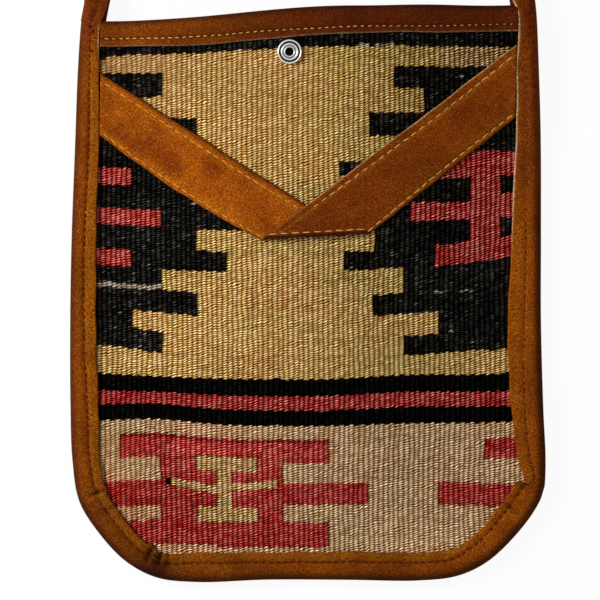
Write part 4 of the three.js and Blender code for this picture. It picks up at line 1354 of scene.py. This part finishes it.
thread = {
    "cream": {"colour": linear(228, 174, 90), "thick": 0.23, "pitch": 3.52, "dash": 2.5},
    "amber": {"colour": linear(216, 146, 62), "thick": 0.23, "pitch": 4.6, "dash": 4.0},
    "wheat": {"colour": linear(224, 164, 96), "thick": 0.23, "pitch": 4.95, "dash": 4.3},
    "russet": {"colour": linear(92, 20, 12), "thick": 0.38, "pitch": 3.6, "dash": 2.5},
    "tack": {"colour": linear(52, 12, 8), "thick": 0.42, "pitch": 2.6, "dash": 2.4},
}
stitch = {
    "steps": 9, "sides": 8, "blunt": 0.02, "flat": 0.8,
    "crown": 0.55, "dive": 1.1,             # height of a stitch's middle and fall of its ends, in thicknesses
    "jitter": 0.2, "length": (0.88, 1.1), "skew": 0.16, "tone": (0.8, 1.15),
    "twist": 0.13, "twistPace": 5.0, "strands": 2,
    "sunk": 0.1,                            # how deep a stitch is drawn into its seam
}
sewing = {
    "edgeEnds": 6, "strapSteps": 700, "strapEnds": 16,      # points, and how many are left bare at both ends
    "topGap": 1.5, "topSteps": 240, "topFade": 0.4, "topShorten": 0.4,
    # place and heading of the tack stitches
    "tacks": [(-107.8, 133.4, 20), (-107.2, 130.6, 100), (-107.9, 121.6, -10), (-106.4, -100.4, 60),
              (-79.6, -127.2, -35), (-76.2, -130.6, -25), (-74.2, -131.6, 25), (-71.4, -134.0, -10)],
    "tackReach": 1.3, "tackRaise": 0.1, "tackSteps": 9,
}
upward = np.array([0.0, 0.0, 1.0])


def stitches(name, yarn, line, up, sink=stitch["sunk"], fade=0.0, shorten=0.0):
    # short twisted capsules laid end to end along a line on a surface; their ends dive into the needle holes
    look = thread[yarn]
    run = runLength(line)
    count = max(1, int(run[-1] / look["pitch"]))
    middle = (np.arange(count) + 0.5) * run[-1] / count
    middle = middle + draws.uniform(-stitch["jitter"], stitch["jitter"], count)
    reach = look["dash"] / 2 * draws.uniform(*stitch["length"], count) * (1 - shorten * middle / run[-1])
    along = np.linspace(-1, 1, stitch["steps"])
    place = np.clip(middle[:, None] + reach[:, None] * along[None, :], 0, run[-1])
    guides = (line, np.broadcast_to(up, line.shape), np.gradient(line, run, axis=0))
    centre, rising, way = (np.stack([np.interp(place, run, axis) for axis in guide.T], -1)
                           for guide in guides)
    side = unit(np.cross(way, rising))
    skew = draws.normal(0, stitch["skew"], count)[:, None] * along[None, :]
    height = look["thick"] * (stitch["crown"] - stitch["dive"] * along ** 4) - sink
    centre = centre + side * skew[..., None] + rising * height[None, :, None]
    turn = np.linspace(0, 2 * np.pi, stitch["sides"], endpoint=False)
    wave = np.cos(stitch["strands"] * turn[None, :] + stitch["twistPace"] * along[:, None])
    taper = np.sqrt(np.clip(1 + stitch["blunt"] - along ** 4, 0, 1))[:, None]
    girth = look["thick"] * taper * (1 + stitch["twist"] * wave)
    spots = centre[:, :, None] + side[:, :, None] * (girth * np.cos(turn))[None, ..., None]
    spots = spots + rising[:, :, None] * (girth * stitch["flat"] * np.sin(turn))[None, ..., None]
    size = len(along) * len(turn)
    offset = (np.arange(count) * size)[:, None, None]
    caps = np.stack([np.arange(len(turn)), np.arange(size - len(turn), size)])
    faces = (gridFaces(len(along), len(turn), True)[None] + offset).reshape(-1, 4).tolist()
    faces += (caps[None] + offset).reshape(-1, len(turn)).tolist()
    tone = draws.uniform(*stitch["tone"], count) * (1 - fade * middle / run[-1])
    colours = np.broadcast_to((look["colour"] * tone[:, None])[:, None, None], spots.shape)
    addPiece(newMesh(name, spots, faces, tint=colours), waxedThread)


def sewEdge():
    plan = edgeLine + edgeInward * (edgeWidth - seamIn())[:, None]
    hidden = edgeBinding["grooveDepth"] * (1 - sewnShare())
    line = np.c_[plan, edgeStack()[1] + edgeRelief(seamIn()) - hidden]
    stitches("edge_stitches", "russet", line[sewing["edgeEnds"]:-sewing["edgeEnds"]], upward)


def sewTacks():                         # single stitches that hold the tucks and the strap's root
    reach = np.linspace(-sewing["tackReach"], sewing["tackReach"], sewing["tackSteps"])[:, None]
    for number, (x, y, turn) in enumerate(sewing["tacks"], 1):
        spot = edgeFace[np.argmin(np.hypot(edgeFace[:, 0] - x, edgeFace[:, 1] - y))]
        way = np.array([np.cos(np.radians(turn)), np.sin(np.radians(turn)), 0.0])
        stitches("tack_stitch_%d" % number, "tack", spot + upward * sewing["tackRaise"] + reach * way, upward)


def sewTop():
    x = mouthRun(sewing["topGap"], sewing["topSteps"])
    y = mouthEdge(x) - topWidth(x) + topSeam(x)
    z = layer["edgeTop"] + rise(x, y) + topRelief(topSeam(x), x)
    stitches("top_stitches", "cream", np.stack([x, y, z], -1), upward, sink=0.0,
             fade=sewing["topFade"], shorten=sewing["topShorten"])


def sewBand(side):
    # both long seams of an arm; the left ones stop at the right arm, the upper right one where the arms cross
    arm = band[side]
    upper, lower = armEdges(side, np.linspace(*band["seamSpan"], band["seamSteps"])[:, None])
    down = unit(lower - upper)
    lines = {"upper": upper + down * arm["upperSeam"], "lower": lower - down * arm["lowerSeam"]}
    for edge, plan in lines.items():
        if side == "left":
            start, end = armLines("right")[0]
            way, off = end - start, plan - start
            plan = plan[way[0] * off[:, 1] - way[1] * off[:, 0] < -band["stopShort"]]
        elif edge == "upper":
            plan = plan[plan[:, 0] > band["crossing"]]
        z = bandBase(side, plan[:, 0], plan[:, 1]) + bag["leather"] - band["grooveDepth"]
        stitches("band_" + side + "_" + edge + "_stitches", arm["yarn"], np.c_[plan, z], upward, sink=0.0)


def sewTip():
    tip = between(*bandTip(), np.linspace(*band["tipRun"], band["tipSteps"])[:, None])
    tip = tip + np.array([0.0, band["tipSeam"]])
    z = bandBase("right", tip[:, 0], tip[:, 1]) + bag["leather"] + band["tipHeight"]
    stitches("band_tip_stitches", band["right"]["yarn"], np.c_[tip, z], upward)


def sewStrap():
    line, side, up = strapFrame(sewing["strapSteps"])
    groove = line + side * strap["seam"] + up * (strap["thickness"] / 2 - strap["groove"])
    sewn = slice(sewing["strapEnds"], -sewing["strapEnds"])
    stitches("strap_stitches", "russet", groove[sewn], up[sewn])


sewEdge()
sewTacks()
sewTop()
sewBand("left")
sewBand("right")
sewTip()
sewStrap()
print("seams sewn")


# Camera, light and floor
view = {
    "aim": (-4.0, -3.1), "height": 3000.0, "lens": 359.8, "farthest": 50.0,
    "key": {"place": (-1150, 420, 900), "size": 560, "power": 27.0},
    "fill": {"place": (900, -500, 1100), "size": 1400, "power": 5.0},
    "sky": 0.26, "floor": (0.93, 0.93, 0.92), "floorGlow": 0.93, "floorRoughness": 0.9, "floorSpecular": 0.1,
    "floorReach": 3000.0, "floorZ": -0.3,
}


def addLamp(name, lamp):
    light = bpy.data.lights.new(name, "AREA")
    light.size = lamp["size"] * mm
    light.energy = lamp["power"]
    holder = bpy.data.objects.new(name, light)
    holder.location = np.array(lamp["place"]) * mm
    holder.rotation_euler = (-holder.location).to_track_quat("-Z", "Y").to_euler()
    bpy.context.scene.collection.objects.link(holder)


def seenDirectly(tree):                 # 1 for what the camera, polished metal or glass sees
    path = addNode(tree, "LightPath")
    seen = calc(tree, "MAXIMUM", path.outputs["Is Camera Ray"], path.outputs["Is Glossy Ray"])
    return calc(tree, "MAXIMUM", seen, path.outputs["Is Transmission Ray"])


def makeFloor():
    # a pale floor that takes a faint shadow and looks almost white
    reach = view["floorReach"]
    spots = [(x * reach, y * reach, view["floorZ"]) for x, y in ((-1, -1), (1, -1), (1, 1), (-1, 1))]
    floor = bpy.data.objects.new("floor", newMesh("floor", spots, [[0, 1, 2, 3]]))
    material, tree, shader = newMaterial("paleFloor")
    shader.inputs["Base Color"].default_value = (*view["floor"], 1)
    shader.inputs["Roughness"].default_value = view["floorRoughness"]
    shader.inputs["Specular IOR Level"].default_value = view["floorSpecular"]
    seen = calc(tree, "MULTIPLY", seenDirectly(tree), view["floorGlow"])
    glow = addNode(tree, "Emission", {"Color": (1, 1, 1, 1), "Strength": 1.0}).outputs[0]
    mixed = addNode(tree, "MixShader", {0: seen, 1: shader.outputs[0], 2: glow}).outputs[0]
    plug(tree, tree.nodes["Material Output"].inputs["Surface"], mixed)
    floor.data.materials.append(material)
    bpy.context.scene.collection.objects.link(floor)


def makeStage():
    scene = bpy.context.scene
    scene.view_settings.view_transform = "Standard"
    camera = bpy.data.objects.new("camera", bpy.data.cameras.new("camera"))
    camera.data.lens = view["lens"]
    camera.data.clip_end = view["farthest"]
    camera.location = (view["aim"][0] * mm, view["aim"][1] * mm, view["height"] * mm)
    scene.collection.objects.link(camera)
    scene.camera = camera
    addLamp("keyLamp", view["key"])
    addLamp("fillLamp", view["fill"])
    scene.world = bpy.data.worlds.new("sky")
    scene.world.use_nodes = True
    sky = scene.world.node_tree
    sky.nodes["Background"].inputs["Color"].default_value = (1, 1, 1, 1)
    plug(sky, sky.nodes["Background"].inputs["Strength"], fit(sky, seenDirectly(sky), view["sky"], 1.0))
    makeFloor()
    print("camera, lamps and floor set")


makeStage()
bpy.context.view_layer.update()
